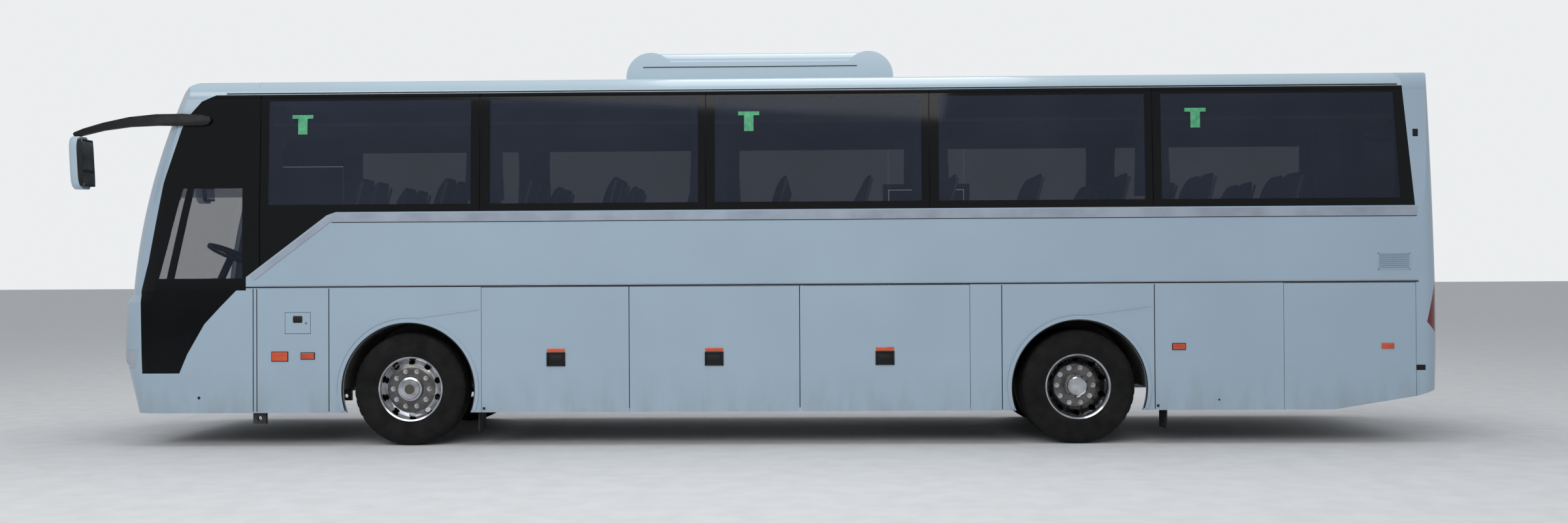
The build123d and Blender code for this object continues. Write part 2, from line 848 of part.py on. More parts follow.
# Front axle: a dropped beam with an eye at each kingpin and the air springs on it
kingpin_radius = 28
eye_z = (460, 580)
fork_thickness = 26
fork_slack = 0.5
beam_z = (330, 440)
beam_half = 45
spring_radius = 105
spindle_end = track_half + rim_half + 36
for side, name in front_wheels:
    with BuildPart() as knuckle:
        tube_z(
            front_axle_x,
            side * kingpin_y,
            kingpin_radius,
            (eye_z[0] - fork_thickness, eye_z[1] + fork_thickness),
        )
        for low in (eye_z[0] - fork_thickness - fork_slack, eye_z[1] + fork_slack):
            tube_z(front_axle_x, side * kingpin_y, 55, (low, low + fork_thickness))
            block(
                (front_axle_x - 50, front_axle_x + 50),
                between(side, kingpin_y, kingpin_y + 90),
                (low, low + fork_thickness),
            )
        block(
            (front_axle_x - 60, front_axle_x + 60),
            between(side, kingpin_y + 62, kingpin_y + 98),
            (eye_z[0] - fork_thickness - fork_slack, eye_z[1] + fork_slack + fork_thickness),
        )
        tube_y(front_axle_x, tyre_radius, spindle_radius, between(side, kingpin_y + 90, spindle_end))
        block(
            (front_axle_x + 40, front_axle_x + 210),
            between(side, kingpin_y - 20, kingpin_y + 20),
            (eye_z[0] - fork_thickness - fork_slack - 4, eye_z[0] - fork_slack - 6),
        )
    save(knuckle.part, "knuckle" + name[5:])
with BuildPart() as front_axle:
    block(
        (front_axle_x - beam_half, front_axle_x + beam_half),
        (-kingpin_y + 150, kingpin_y - 150),
        beam_z,
    )
    for side in (-1, 1):
        block(
            (front_axle_x - beam_half, front_axle_x + beam_half),
            between(side, kingpin_y - 190, kingpin_y - 90),
            (beam_z[0], eye_z[1] - 20),
        )
        block(
            (front_axle_x - beam_half, front_axle_x + beam_half),
            between(side, kingpin_y - 130, kingpin_y - 10),
            (eye_z[0] + 20, eye_z[1] - 20),
        )
        tube_z(front_axle_x, side * kingpin_y, 50, eye_z)
        tube_z(
            front_axle_x,
            side * kingpin_y,
            kingpin_radius + pin_clearance,
            eye_z,
            mode=Mode.SUBTRACT,
        )
        tube_z(front_axle_x, side * rail_y, spring_radius, (beam_z[1], rail_z))
save(front_axle.part, "front_axle")

# Drive axle: a tube with the gear case in the middle
axle_tube_radius = 85
gear_case_radius = 215
with BuildPart() as rear_axle:
    tube_y(rear_axle_x, tyre_radius, axle_tube_radius, (-twin_inner_y, twin_inner_y))
    tube_y(rear_axle_x, tyre_radius, gear_case_radius, (-130, 130))
    fillet(
        rear_axle.edges().filter_by(GeomType.CIRCLE).filter_by(lambda edge: edge.radius > gear_case_radius - 1),
        60,
    )
    for side in (-1, 1):
        tube_y(
            rear_axle_x,
            tyre_radius,
            spindle_radius,
            between(side, twin_inner_y - 10, track_half + 5),
        )
        for offset in (-330, 330):
            block(
                (rear_axle_x + offset - 60, rear_axle_x + offset + 60),
                between(side, rail_y - 60, rail_y + 60),
                (430, 470),
            )
            tube_z(rear_axle_x + offset, side * rail_y, 90, (470, rail_z))
        block(
            (rear_axle_x - 360, rear_axle_x + 360),
            between(side, rail_y - 40, rail_y + 40),
            (390, 430),
        )
        block(
            (rear_axle_x - 60, rear_axle_x + 60),
            between(side, rail_y - 40, rail_y + 40),
            (400, 520),
        )
save(rear_axle.part, "rear_axle")

# Front and rear chassis frames with the posts that carry the floor
post = 50
portal_y = half_width - wall - 12
floor_under_z = floor_z - floor_thickness
cab_under_z = cab_floor_z - floor_thickness
post_foot_z = 480
# columns: portal x, whether a bar crosses it low down (the engine leaves no room at the back)
portal_rows = [
    (saloon_front_x + 30, True),
    (front_axle_x - 690, True),
    (rear_arch_front_x - 30, True),
    (rear_axle_x + 670, True),
    (service_x - 30, False),
    (rear_x - 330, False),
]
rail_rows = [(front_x + 330, hold_x), (right_hold_end_x, rear_x - 290)]
cross_rows = (front_x + 355, front_axle_x - 250, front_axle_x + 250, rear_axle_x - 480, rear_axle_x + 480)
tow_eye_x = saloon_front_x + 65
tow_eye_y = portal_y - post / 2
tow_eye_z = 255
tow_eye_radius = 22
tow_lug_half = 20
with BuildPart() as chassis_frame:
    for start, end in rail_rows:
        for side in (-1, 1):
            rail = between(side, rail_y - rail_width / 2, rail_y + rail_width / 2)
            block((start, end), rail, (rail_z, rail_z + rail_height))
    for cross_x in cross_rows:
        block((cross_x - post / 2, cross_x + post / 2), (-rail_y, rail_y), (rail_z + 20, rail_z + rail_height - 20))
    for side in (-1, 1):
        web = between(side, rail_y - post / 2, rail_y + post / 2)
        block((rail_rows[0][0], saloon_front_x - 130), web, (rail_z + rail_height, cab_under_z))
save(chassis_frame.part, "chassis_frame")

# Portal frames that stand on the rails and carry the floor, the first with a tow eye on each side
with BuildPart() as floor_portals:
    for portal_x, crossed in portal_rows:
        bar = (portal_x - post / 2, portal_x + post / 2)
        if crossed:
            block(bar, (-portal_y, portal_y), (rail_z, rail_z + post))
        block(bar, (-portal_y, portal_y), (floor_under_z - post, floor_under_z))
        for side in (-1, 1):
            block(bar, between(side, rail_y, portal_y), (rail_z, rail_z + post))
            for y in (portal_y - post, rail_y - post / 2):
                block(bar, between(side, y, y + post), (post_foot_z, floor_under_z))
    for side in (-1, 1):
        lug = between(side, tow_eye_y - tow_lug_half, tow_eye_y + tow_lug_half)
        block((tow_eye_x - 60, tow_eye_x + 60), lug, (tow_eye_z - 50, post_foot_z))
        block((tow_eye_x - 25, tow_eye_x + 25), lug, (post_foot_z, rail_z))
        tube_y(tow_eye_x, tow_eye_z, tow_eye_radius, lug, mode=Mode.SUBTRACT)
    add(chassis_frame.part, mode=Mode.SUBTRACT)
save(floor_portals.part, "floor_portals")

# Luggage hold between the frames: floor, end walls and the posts between the flaps
hold_wall = 40
with BuildPart() as luggage_hold:
    block((hold_x, right_hold_end_x), (-portal_y, portal_y), (hold_floor_z - 40, hold_floor_z))
    block((hold_x, hold_x + hold_wall), (-portal_y, portal_y), (hold_floor_z, floor_under_z))
    block(
        (right_hold_end_x - hold_wall, right_hold_end_x),
        (-portal_y, portal_y),
        (hold_floor_z, floor_under_z),
    )
    block((right_hold_end_x, hold_end_x), (-portal_y, -rail_y - 45), (hold_floor_z - 40, hold_floor_z))
    block(
        (hold_end_x - hold_wall, hold_end_x),
        (-portal_y, -rail_y - 45),
        (hold_floor_z, floor_under_z),
    )
    for seam_x in (flap_seam_a, flap_seam_b):
        for side in (-1, 1):
            block(
                (seam_x - post / 2, seam_x + post / 2),
                between(side, portal_y - post, portal_y),
                (hold_floor_z, floor_under_z),
            )
save(luggage_hold.part, "luggage_hold")

# Saloon floor with the wall in front of it and the steps inside the middle door
aisle_y = 330
step_y = 560
floor_half = half_width - wall - 5
cab_front_x = front_x + 330
step_start_x = front_x + 700
cab_wall = 40
cab_end_x = saloon_front_x - cab_wall
with BuildPart() as floor:
    block((saloon_front_x, rear_x - 180), (-floor_half, floor_half), (floor_under_z, floor_z))
    block(
        (middle_door_x[0], middle_door_x[1]),
        (step_y, half_width),
        (floor_under_z, floor_z),
        mode=Mode.SUBTRACT,
    )
    block((cab_end_x, saloon_front_x), (-floor_half, floor_half), (cab_under_z, floor_under_z))
    block((cab_end_x, saloon_front_x), (step_y - 40, floor_half - 25), (400, cab_under_z))
    for index, tread_z in enumerate((440, 760, 1080)):
        tread_y = (
            step_y + (2 - index) * 220,
            floor_half - 25 if index == 0 else step_y + (3 - index) * 220,
        )
        block(middle_door_x, tread_y, (tread_z - 40, tread_z))
        block(
            middle_door_x,
            (tread_y[0] - 30, tread_y[0]),
            (tread_z - 40, min(tread_z + 320, floor_under_z)),
        )
save(floor.part, "floor")

# Cab floor with the step up to the aisle and the steps inside the front door
with BuildPart() as cab_floor:
    block((cab_front_x, cab_end_x), (-floor_half + 60, step_y), (cab_under_z, cab_floor_z))
    block(
        (saloon_front_x - mirror_reach + 30, cab_end_x),
        (-aisle_y, aisle_y),
        (cab_floor_z, cab_floor_z + 200),
    )
    block((step_start_x, cab_end_x), (step_y, step_y + 260), (660, 700))
    block((step_start_x, cab_end_x), (step_y + 220, step_y + 260), (400, 660))
    block((step_start_x, cab_end_x), (step_y + 260, floor_half - 25), (400, 440))
    block((step_start_x, cab_end_x), (step_y - 40, step_y), (660, cab_under_z))
save(cab_floor.part, "cab_floor")

# Engine at the back, one plain block of its real size
with BuildPart() as engine_block:
    block((rear_x - 1900, rear_x - 400), (-360, 360), (430, 1230))
save(engine_block.part, "engine_block")

# Passenger seats in pairs, each pair one moulding with two cushions and two backs
seat_pitch = 790
seat_width = 450
seat_back_lean = 170
seat_rows_left = 12
seat_outline = [
    (0, 380),
    (480, 330),
    (480 + 60, 330),
    (480 + seat_back_lean + 40, 1080),
    (480 + seat_back_lean - 30, 1100),
    (480 - 20, 480),
    (440, 440),
    (0, 490),
]
first_seat_x = saloon_front_x + 350
blocked_rows = (7, 8)


def seat_pair(x, side, base_z):
    """Two seats side by side on one leg."""
    for inner in (aisle_y - 90, aisle_y - 90 + seat_width + 12):
        with BuildSketch(Plane.XZ.offset(-max(side * inner, side * (inner + seat_width)))) as seat_side:
            with BuildLine():
                Polyline(*[(x + px, base_z + pz) for px, pz in seat_outline], close=True)
            make_face()
        extrude(seat_side.sketch, amount=seat_width)
    leg_y = between(side, aisle_y + 60, aisle_y + 160)
    block((x + 150, x + 400), leg_y, (base_z, base_z + 360))
    block(
        (x + 180, x + 300),
        between(side, aisle_y - 60, half_width - wall - 60),
        (base_z + 330, base_z + 370),
    )


with BuildPart() as seats:
    for row in range(seat_rows_left):
        seat_x = first_seat_x + row * seat_pitch
        seat_pair(seat_x, -1, floor_z)
        if row not in blocked_rows:
            seat_pair(seat_x, 1, floor_z)
save(seats.part, "seats")

# Driver's place
driver_y = -650
with BuildPart() as driver_seat:
    with BuildSketch(Plane.XZ.offset(-driver_y - 250)) as seat_side:
        with BuildLine():
            Polyline(
                *[(front_x + 820 + px * 0.85, cab_floor_z + pz) for px, pz in seat_outline],
                close=True,
            )
        make_face()
    extrude(seat_side.sketch, amount=500)
    block(
        (front_x + 910, front_x + 1160),
        (driver_y - 150, driver_y + 150),
        (cab_floor_z, cab_floor_z + 380),
    )
save(driver_seat.part, "driver_seat")

wheel_tilt = 25
with BuildPart() as dashboard:
    with BuildSketch(Plane.XZ):
        with BuildLine():
            Polyline(
                (front_x + 340, cab_floor_z),
                (front_x + 620, cab_floor_z),
                (front_x + 680, 1330),
                (front_x + 600, 1470),
                (front_x + 340, 1500),
                close=True,
            )
        make_face()
    extrude(amount=1080)
    with BuildSketch(Plane.XZ):
        with BuildLine():
            Polyline(
                (front_x + 340, cab_floor_z),
                (front_x + 560, cab_floor_z),
                (front_x + 600, 1350),
                (front_x + 340, 1500),
                close=True,
            )
        make_face()
    extrude(amount=-520)
    with BuildSketch(Plane(
        origin=(front_x + 900, driver_y, 1770),
        z_dir=(sin(radians(wheel_tilt)), 0, cos(radians(wheel_tilt))),
    )):
        Circle(35)
    extrude(amount=-420)
    with BuildSketch(Plane(
        origin=(front_x + 900, driver_y, 1770),
        z_dir=(sin(radians(wheel_tilt)), 0, cos(radians(wheel_tilt))),
    )):
        Circle(240)
        Circle(208, mode=Mode.SUBTRACT)
        Rectangle(440, 40)
    extrude(amount=28)
save(dashboard.part, "dashboard")

# Luggage racks over the seats
with BuildPart() as luggage_racks:
    for side in (-1, 1):
        with BuildSketch(Plane.YZ.offset(saloon_front_x + 200)) as rack:
            with BuildLine():
                Polyline(
                    (side * 1180, 2960),
                    (side * 780, 2880),
                    (side * 700, 2900),
                    (side * 700, 3150),
                    (side * 725, 3150),
                    (side * 725, 2925),
                    (side * 780, 2910),
                    (side * 1180, 2990),
                    close=True,
                )
            make_face()
        extrude(amount=rear_x - 400 - saloon_front_x - 200)
save(luggage_racks.part, "luggage_racks")

# Mud flaps behind each wheel
with BuildPart() as mud_flaps:
    for flap_x in (front_axle_x + 640, rear_axle_x + 800):
        for side in (-1, 1):
            block((flap_x - 6, flap_x + 6), between(side, 960, 1220), (130, 560))
save(mud_flaps.part, "mud_flaps")

# Mirrors on long arms that reach ahead of the screen
mirror_head_length = 200
mirror_head_width = 240
mirror_head_height = 490
mirror_head_corner = 70
mirror_foot_z = 2380
arm_root_x = front_x + 960
arm_middle_x = front_x + 400
arm_tip_x = front_x - mirror_reach
with BuildPart() as mirrors:
    for side in (-1, 1):
        arm_y = between(side, half_width - roof_lean, half_width + 20)
        with BuildSketch(Plane.XZ.offset(-arm_y[1])) as arm_side:
            with BuildLine():
                ThreePointArc((arm_root_x, 3070), (arm_middle_x, 3080), (arm_tip_x, 2920))
                Line((arm_tip_x, 2920), (arm_tip_x + 30, 2860))
                ThreePointArc((arm_tip_x + 30, 2860), (arm_middle_x, 2990), (arm_root_x, 2960))
                Line((arm_root_x, 2960), (arm_root_x, 3070))
            make_face()
        extrude(arm_side.sketch, amount=arm_y[1] - arm_y[0])
        with BuildSketch(Plane.XY.offset(mirror_foot_z)) as head_plan:
            with Locations((arm_tip_x + mirror_head_length / 2, side * (half_width + 20))):
                RectangleRounded(mirror_head_length, mirror_head_width, mirror_head_corner)
        extrude(head_plan.sketch, amount=mirror_head_height)
    add(outer_form, mode=Mode.SUBTRACT)
save(mirrors.part, "mirrors")
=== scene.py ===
import bpy
import bmesh
import math
from mathutils import Vector, Matrix
from mathutils.bvhtree import BVHTree


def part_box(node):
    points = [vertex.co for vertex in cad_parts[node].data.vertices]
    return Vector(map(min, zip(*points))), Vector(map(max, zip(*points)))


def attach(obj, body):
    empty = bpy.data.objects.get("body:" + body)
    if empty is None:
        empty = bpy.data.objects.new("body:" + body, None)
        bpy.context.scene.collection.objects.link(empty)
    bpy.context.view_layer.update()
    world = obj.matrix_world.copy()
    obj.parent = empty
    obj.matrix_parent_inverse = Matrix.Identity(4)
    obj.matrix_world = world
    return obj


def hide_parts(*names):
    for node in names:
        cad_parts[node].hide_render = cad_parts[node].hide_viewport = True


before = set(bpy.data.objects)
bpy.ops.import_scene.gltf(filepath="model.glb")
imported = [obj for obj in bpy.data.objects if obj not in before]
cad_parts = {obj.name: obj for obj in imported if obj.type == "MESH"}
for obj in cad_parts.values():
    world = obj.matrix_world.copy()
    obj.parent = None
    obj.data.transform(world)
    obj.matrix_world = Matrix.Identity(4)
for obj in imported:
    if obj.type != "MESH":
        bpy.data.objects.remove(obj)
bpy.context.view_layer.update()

# Places that the whole coach shares, in metres, read from the frame
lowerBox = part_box("lower_sides")
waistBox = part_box("waist_panels")
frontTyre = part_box("tyre_front_left")
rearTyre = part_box("tyre_rear_left")
sideY = -lowerBox[0][1]                      # half the width of the body
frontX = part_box("front_bumper")[0][0]
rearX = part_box("rear_bumper")[1][0]
skirtZ = lowerBox[0][2]
beltZ = waistBox[0][2]
sillZ = waistBox[1][2]
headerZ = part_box("side_glass")[1][2]
wheelZ = (frontTyre[0][2] + frontTyre[1][2]) / 2
frontAxleX = (frontTyre[0][0] + frontTyre[1][0]) / 2
rearAxleX = (rearTyre[0][0] + rearTyre[1][0]) / 2
tyreRadius = (frontTyre[1][2] - frontTyre[0][2]) / 2
roofLean = 0.043 / 1.057                     # how far the window walls lean in per metre of height
sides = ((-1, "left"), (1, "right"))


def wallY(z):  # half width of the body at a height on the side
    return sideY - max(0.0, z - sillZ) * roofLean


def circle(count, closing=0):  # turns round a full circle, with closing=1 the first comes again at the end
    return [2 * math.pi * step / count for step in range(count + closing)]


print("stage: helpers")


def srgb(red, green, blue):  # a colour as the eye reads it, 0 to 255
    def lift(value):
        value = value / 255
        return value / 12.92 if value <= 0.04045 else ((value + 0.055) / 1.055) ** 2.4
    return (lift(red), lift(green), lift(blue), 1.0)


def shaded(colour, share):
    return tuple(part * share for part in colour[:3]) + (1,)


class Wiring:  # keeps the wiring of a node tree short
    def __init__(self, tree):
        self.tree = tree

    def plug(self, socket, value):  # a link, where the value is another node's socket, or a constant
        if isinstance(value, bpy.types.NodeSocket):
            self.tree.links.new(value, socket)
        else:
            socket.default_value = value

    def fill(self, node, values):
        for name, value in values.items():
            self.plug(node.inputs[name.replace("_", " ")], value)
        return node

    def add(self, kind, **values):
        return self.fill(self.tree.nodes.new(kind), values)

    def math(self, kind, first, second):
        node = self.tree.nodes.new("ShaderNodeMath")
        node.operation = kind
        self.plug(node.inputs[0], first)
        self.plug(node.inputs[1], second)
        return node.outputs[0]


class Finish(Wiring):  # a material on Object coordinates
    def __init__(self, name, **values):
        self.material = bpy.data.materials.new(name)
        self.material.use_nodes = True
        super().__init__(self.material.node_tree)
        self.tree.nodes.clear()
        self.shader = self.add("ShaderNodeBsdfPrincipled", **values)
        self.add("ShaderNodeOutputMaterial", Surface=self.shader.outputs[0])
        self.coords = self.add("ShaderNodeTexCoord").outputs["Object"]

    def put(self, **values):  # constants or links for the shader's sockets
        self.fill(self.shader, values)
        return self

    def noise(self, scale, detail=3.0, stretch=(1, 1, 1), seed=0.0):
        shift = (seed, seed * 0.7, seed * 1.3)
        placed = self.add("ShaderNodeMapping", Vector=self.coords, Scale=stretch, Location=shift)
        texture = self.add("ShaderNodeTexNoise", Vector=placed.outputs[0], Scale=scale, Detail=detail)
        return texture.outputs["Fac"]

    def spread(self, value, low, high, outLow=0.0, outHigh=1.0):
        node = self.add("ShaderNodeMapRange", From_Min=low, From_Max=high, To_Min=outLow, To_Max=outHigh)
        self.plug(node.inputs["Value"], value)
        return node.outputs[0]

    def axis(self, letter):
        return self.add("ShaderNodeSeparateXYZ", Vector=self.coords).outputs[letter]

    def blend(self, factor, first, second):
        node = self.tree.nodes.new("ShaderNodeMix")
        node.data_type = "RGBA"
        for index, value in ((0, factor), (6, first), (7, second)):
            self.plug(node.inputs[index], value)
        return node.outputs[2]

    def bump(self, height, strength, distance):
        node = self.add("ShaderNodeBump", Height=height, Strength=strength, Distance=distance)
        return self.put(Normal=node.outputs[0])


# Body paint colour as the sides show it in shade: the paint's own light blue-grey with painted shade in it.
paint = {"colour": srgb(158, 178, 194), "dirt": srgb(118, 122, 120), "dirtTop": 0.75, "roughness": 0.28,
         "orangePeel": 90.0}


def paintFinish(name, values, dirty=True):
    fin = Finish(name, Metallic=0.0, Coat_Weight=0.6, Coat_Roughness=0.08, Roughness=values["roughness"])
    cloud = fin.spread(fin.noise(1.1, 4.0), 0.3, 0.7)
    tone = fin.blend(cloud, values["colour"], shaded(values["colour"], 0.94))
    if dirty:
        low = fin.spread(fin.axis("Z"), values["dirtTop"], skirtZ, 0.0, 0.42)
        streak = fin.spread(fin.noise(7.0, 5.0, (1, 1, 0.25)), 0.35, 0.75)
        tone = fin.blend(fin.math("MULTIPLY", low, streak), tone, values["dirt"])
    fin.put(Base_Color=tone)
    return fin.bump(fin.noise(values["orangePeel"], 2.0), 0.04, 0.001).material


def plainFinish(name, colour, other, roughness, metallic=0.0, grain=60.0, bump=0.1, coat=0.0, scale=4.0,
                shine=0.5):
    fin = Finish(name, Metallic=metallic, Coat_Weight=coat, Specular_IOR_Level=shine)
    cloud = fin.spread(fin.noise(scale, 4.0), 0.35, 0.7)
    worn = fin.noise(scale * 2.3, 3.0, seed=3.0)
    rough = fin.spread(worn, 0.3, 0.7, roughness * 0.85, min(1.0, roughness * 1.15))
    fin.put(Base_Color=fin.blend(cloud, srgb(*colour), srgb(*other)), Roughness=rough)
    return fin.bump(fin.noise(grain, 2.0), bump, 0.002).material


def glassFinish(name, colour, alpha):
    fin = Finish(name, Roughness=0.04, Alpha=alpha, Specular_IOR_Level=0.6)
    haze = fin.spread(fin.noise(1.7, 3.0), 0.35, 0.7)
    return fin.put(Base_Color=fin.blend(haze, colour, shaded(colour, 1.5))).material


# Glass with a printed black border is clear only inside the openings of the panes.
# An opening has its front edge, rear edge, foot and top, and how far the two edges lean per metre of height.
paneZ = (2.228, 3.192)
cabPaneZ = (1.552, 2.385)
paneRuns = [((start, end) + paneZ, (0.0, lean)) for start, end, lean in (
    (-4.453, -2.575, 0.0), (-2.396, -0.476, 0.0), (-0.322, 1.572, 0.0), (1.731, 3.608, 0.0),
    (3.756, 5.905, -0.045))]
paneRuns += [((-5.480, -5.400) + cabPaneZ, (0.272, 0.229)), ((-5.337, -4.695) + cabPaneZ, (0.224, 0.0))]
cabGlass = {"top": 2.3, "rear": -4.6, "share": 0.45}


def borderedGlass(name, colour, border, alpha, runs, cabPart):
    fin = Finish(name, Roughness=0.05, Specular_IOR_Level=0.22)
    x = fin.axis("X")
    z = fin.axis("Z")
    clear = None
    for (start, end, foot, top), leans in runs:
        rise = fin.math("SUBTRACT", z, foot)
        fromFront, fromRear = [fin.math("SUBTRACT", x, fin.math("MULTIPLY", rise, lean)) for lean in leans]
        inside = fin.math("GREATER_THAN", fromFront, start)
        for kind, value, limit in (("LESS_THAN", fromRear, end), ("GREATER_THAN", z, foot),
                                   ("LESS_THAN", z, top)):
            inside = fin.math("MULTIPLY", inside, fin.math(kind, value, limit))
        clear = inside if clear is None else fin.math("MAXIMUM", clear, inside)
    haze = fin.spread(fin.noise(1.3, 4.0), 0.3, 0.7)
    tint = fin.blend(haze, colour, shaded(colour, 1.35))
    low = fin.math("LESS_THAN", z, cabPart["top"])
    inCab = fin.math("MULTIPLY", low, fin.math("LESS_THAN", x, cabPart["rear"]))
    through = fin.math("SUBTRACT", 1.0, fin.spread(inCab, 0.0, 1.0, alpha, alpha * cabPart["share"]))
    opaque = fin.math("SUBTRACT", 1.0, fin.math("MULTIPLY", clear, through))
    return fin.put(Base_Color=fin.blend(clear, border, tint), Alpha=opaque).material


def doorPaint(name):  # painted below, dark glass above the belt
    fin = Finish(name, Roughness=0.2, Coat_Weight=0.5)
    high = fin.math("GREATER_THAN", fin.axis("Z"), beltZ)
    # Below the belt, the body colour as its sides show it in shade (painted shade).
    fin.put(Base_Color=fin.blend(high, paint["colour"], srgb(16, 18, 22)))
    return fin.bump(fin.noise(paint["orangePeel"], 2.0), 0.04, 0.001).material


print("stage: finishes")
# Sides, ends and flaps in the body colour with painted shade in it.
whitePaint = paintFinish("whitePaint", paint)
# A lighter copy of the body paint for the roof and its fittings: painted light from above.
roofPaint = paintFinish("roofPaint", dict(paint, colour=srgb(172, 192, 204)), dirty=False)
doorFinish = doorPaint("doorFinish")
sideGlass = borderedGlass("sideGlass", srgb(38, 44, 57), srgb(9, 10, 12), 0.6, paneRuns, cabGlass)
clearGlass = glassFinish("clearGlass", srgb(60, 70, 75), 0.35)
lampGlass = glassFinish("lampGlass", srgb(190, 198, 205), 0.4)
blackGloss = plainFinish("blackGloss", (10, 11, 13), (14, 15, 18), 0.12, grain=40, bump=0.02, shine=0.14)
redLens = plainFinish("redLens", (120, 12, 24), (90, 8, 16), 0.15, coat=0.8, grain=120, bump=0.25)
amberLens = plainFinish("amberLens", (212, 78, 26), (176, 56, 18), 0.2, coat=0.8, grain=300, bump=0.3)
chassisBlack = plainFinish("chassisBlack", (34, 34, 35), (70, 66, 60), 0.7, grain=45, bump=0.3)
castMetal = plainFinish("castMetal", (62, 60, 58), (88, 82, 74), 0.6, 0.5, grain=70, bump=0.5)
chrome = plainFinish("chrome", (196, 198, 202), (150, 150, 152), 0.14, 1.0, grain=30, bump=0.03, scale=9)
discMetal = plainFinish("discMetal", (112, 110, 108), (84, 82, 80), 0.26, 1.0, grain=50, bump=0.05, scale=12)
tyreBlack = plainFinish("tyreBlack", (14, 14, 15), (25, 24, 24), 0.85, grain=160, bump=0.3, shine=0.25)
rubber = plainFinish("rubber", (18, 18, 19), (30, 30, 30), 0.75, grain=120, bump=0.2)
darkPlastic = plainFinish("darkPlastic", (14, 14, 16), (22, 22, 25), 0.5, grain=260, bump=0.3, shine=0.3)
greyMoulding = plainFinish("greyMoulding", (158, 168, 182), (140, 149, 163), 0.4, 0.1, grain=60, bump=0.05)
lining = plainFinish("lining", (120, 120, 122), (104, 104, 106), 0.8, grain=200, bump=0.3)
floorCover = plainFinish("floorCover", (70, 72, 76), (92, 92, 94), 0.7, grain=350, bump=0.2)
seatCloth = plainFinish("seatCloth", (40, 46, 66), (58, 62, 84), 0.95, grain=420, bump=0.5, scale=30)
greyGrip = plainFinish("greyGrip", (176, 180, 186), (150, 154, 160), 0.5, grain=120, bump=0.1)

finishedNodes = (
    (whitePaint, "lower_sides waist_panels front_mask front_bumper rear_wall rear_bumper engine_lid"),
    (roofPaint, "roof air_conditioner roof_hatch_front roof_hatch_rear"),
    (doorFinish, "door_front door_middle"),
    (blackGloss, "cab_side_panel window_walls"),
    (sideGlass, "side_glass rear_window"),
    (clearGlass, "windscreen"),
    (lampGlass, "headlamps"),
    (redLens, "tail_lamps"),
    (chassisBlack, "chassis_frame floor_portals door_front_arm door_middle_arm"),
    (castMetal, "front_axle rear_axle knuckle_left knuckle_right engine_block"),
    (lining, "luggage_hold luggage_racks"),
    (floorCover, "floor cab_floor"),
    (darkPlastic, "dashboard mirrors"),
    (seatCloth, "driver_seat seats"),
    (rubber, "mud_flaps"))
cadFinishes = {nodeName: finish for finish, names in finishedNodes for nodeName in names.split()}
finishedStarts = {"flap": whitePaint, "service": whitePaint, "fuel": whitePaint, "rim": chrome,
                  "tyre": tyreBlack}
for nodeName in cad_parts:
    finish = finishedStarts.get(nodeName.split("_")[0]) or cadFinishes[nodeName]
    slots = bpy.data.objects[nodeName].material_slots
    if not slots:
        bpy.data.objects[nodeName].data.materials.append(finish)
    for slot in slots:
        slot.material = finish

print("stage: camera, light and floor")
view = {"place": (0.589, -14.02, 1.559), "yaw": 1.256, "pitch": 0.54, "roll": -0.32, "lens": 31.97}


def turned(degrees, letter):
    return Matrix.Rotation(math.radians(degrees), 4, letter)


def linked(name, data):  # a new object in the scene
    made = bpy.data.objects.new(name, data)
    bpy.context.scene.collection.objects.link(made)
    return made


camera = linked("camera", bpy.data.cameras.new("camera"))
camera.data.lens = view["lens"]
camera.data.sensor_width = 36.0
camera.data.clip_end = 200.0
camera.location = view["place"]
facing = turned(view["yaw"], "Z") @ turned(90 + view["pitch"], "X")
camera.rotation_euler = (facing @ turned(view["roll"], "Z")).to_euler()
bpy.context.scene.camera = camera

lights = {"world": 0.55, "size": 16.0, "aim": (0, 0, 1.5), "key": (900.0, (-4.0, -14.0, 9.0)),
          "top": (900.0, (1.0, 0.0, 14.0))}
world = bpy.data.worlds.new("studio")
bpy.context.scene.world = world
world.use_nodes = True
studio = Wiring(world.node_tree)
sky = studio.tree.nodes["Background"]
studio.fill(sky, {"Color": (0.93, 0.96, 1.0, 1), "Strength": lights["world"]})
backdrop = studio.add("ShaderNodeBackground", Color=srgb(236, 238, 240), Strength=1.0)
both = studio.tree.nodes.new("ShaderNodeMixShader")
seen = studio.add("ShaderNodeLightPath").outputs["Is Camera Ray"]
for index, value in enumerate((seen, sky.outputs[0], backdrop.outputs[0])):
    studio.plug(both.inputs[index], value)
studio.plug(studio.tree.nodes["World Output"].inputs[0], both.outputs[0])
for name in ("key", "top"):
    power, place = lights[name]
    lamp = linked(name, bpy.data.lights.new(name, "AREA"))
    lamp.data.energy = power
    lamp.data.shape = "RECTANGLE"
    lamp.data.size = lights["size"]
    lamp.data.size_y = lights["size"] * 0.4
    lamp.location = place
    lamp.rotation_euler = (Vector(lights["aim"]) - Vector(place)).to_track_quat("-Z", "Y").to_euler()

floorReach = 400
floorMesh = bpy.data.meshes.new("studioFloor")
corners = [(floorReach * x, floorReach * y, 0) for x, y in ((-1, -1), (1, -1), (1, 1), (-1, 1))]
floorMesh.from_pydata(corners, [], [(0, 1, 2, 3)])
floorObject = linked("studioFloor", floorMesh)
paleFloor = plainFinish("paleFloor", (214, 215, 216), (206, 207, 208), 0.8, grain=30, bump=0.05)
floorMesh.materials.append(paleFloor)
bpy.context.scene.view_settings.view_transform = "Standard"

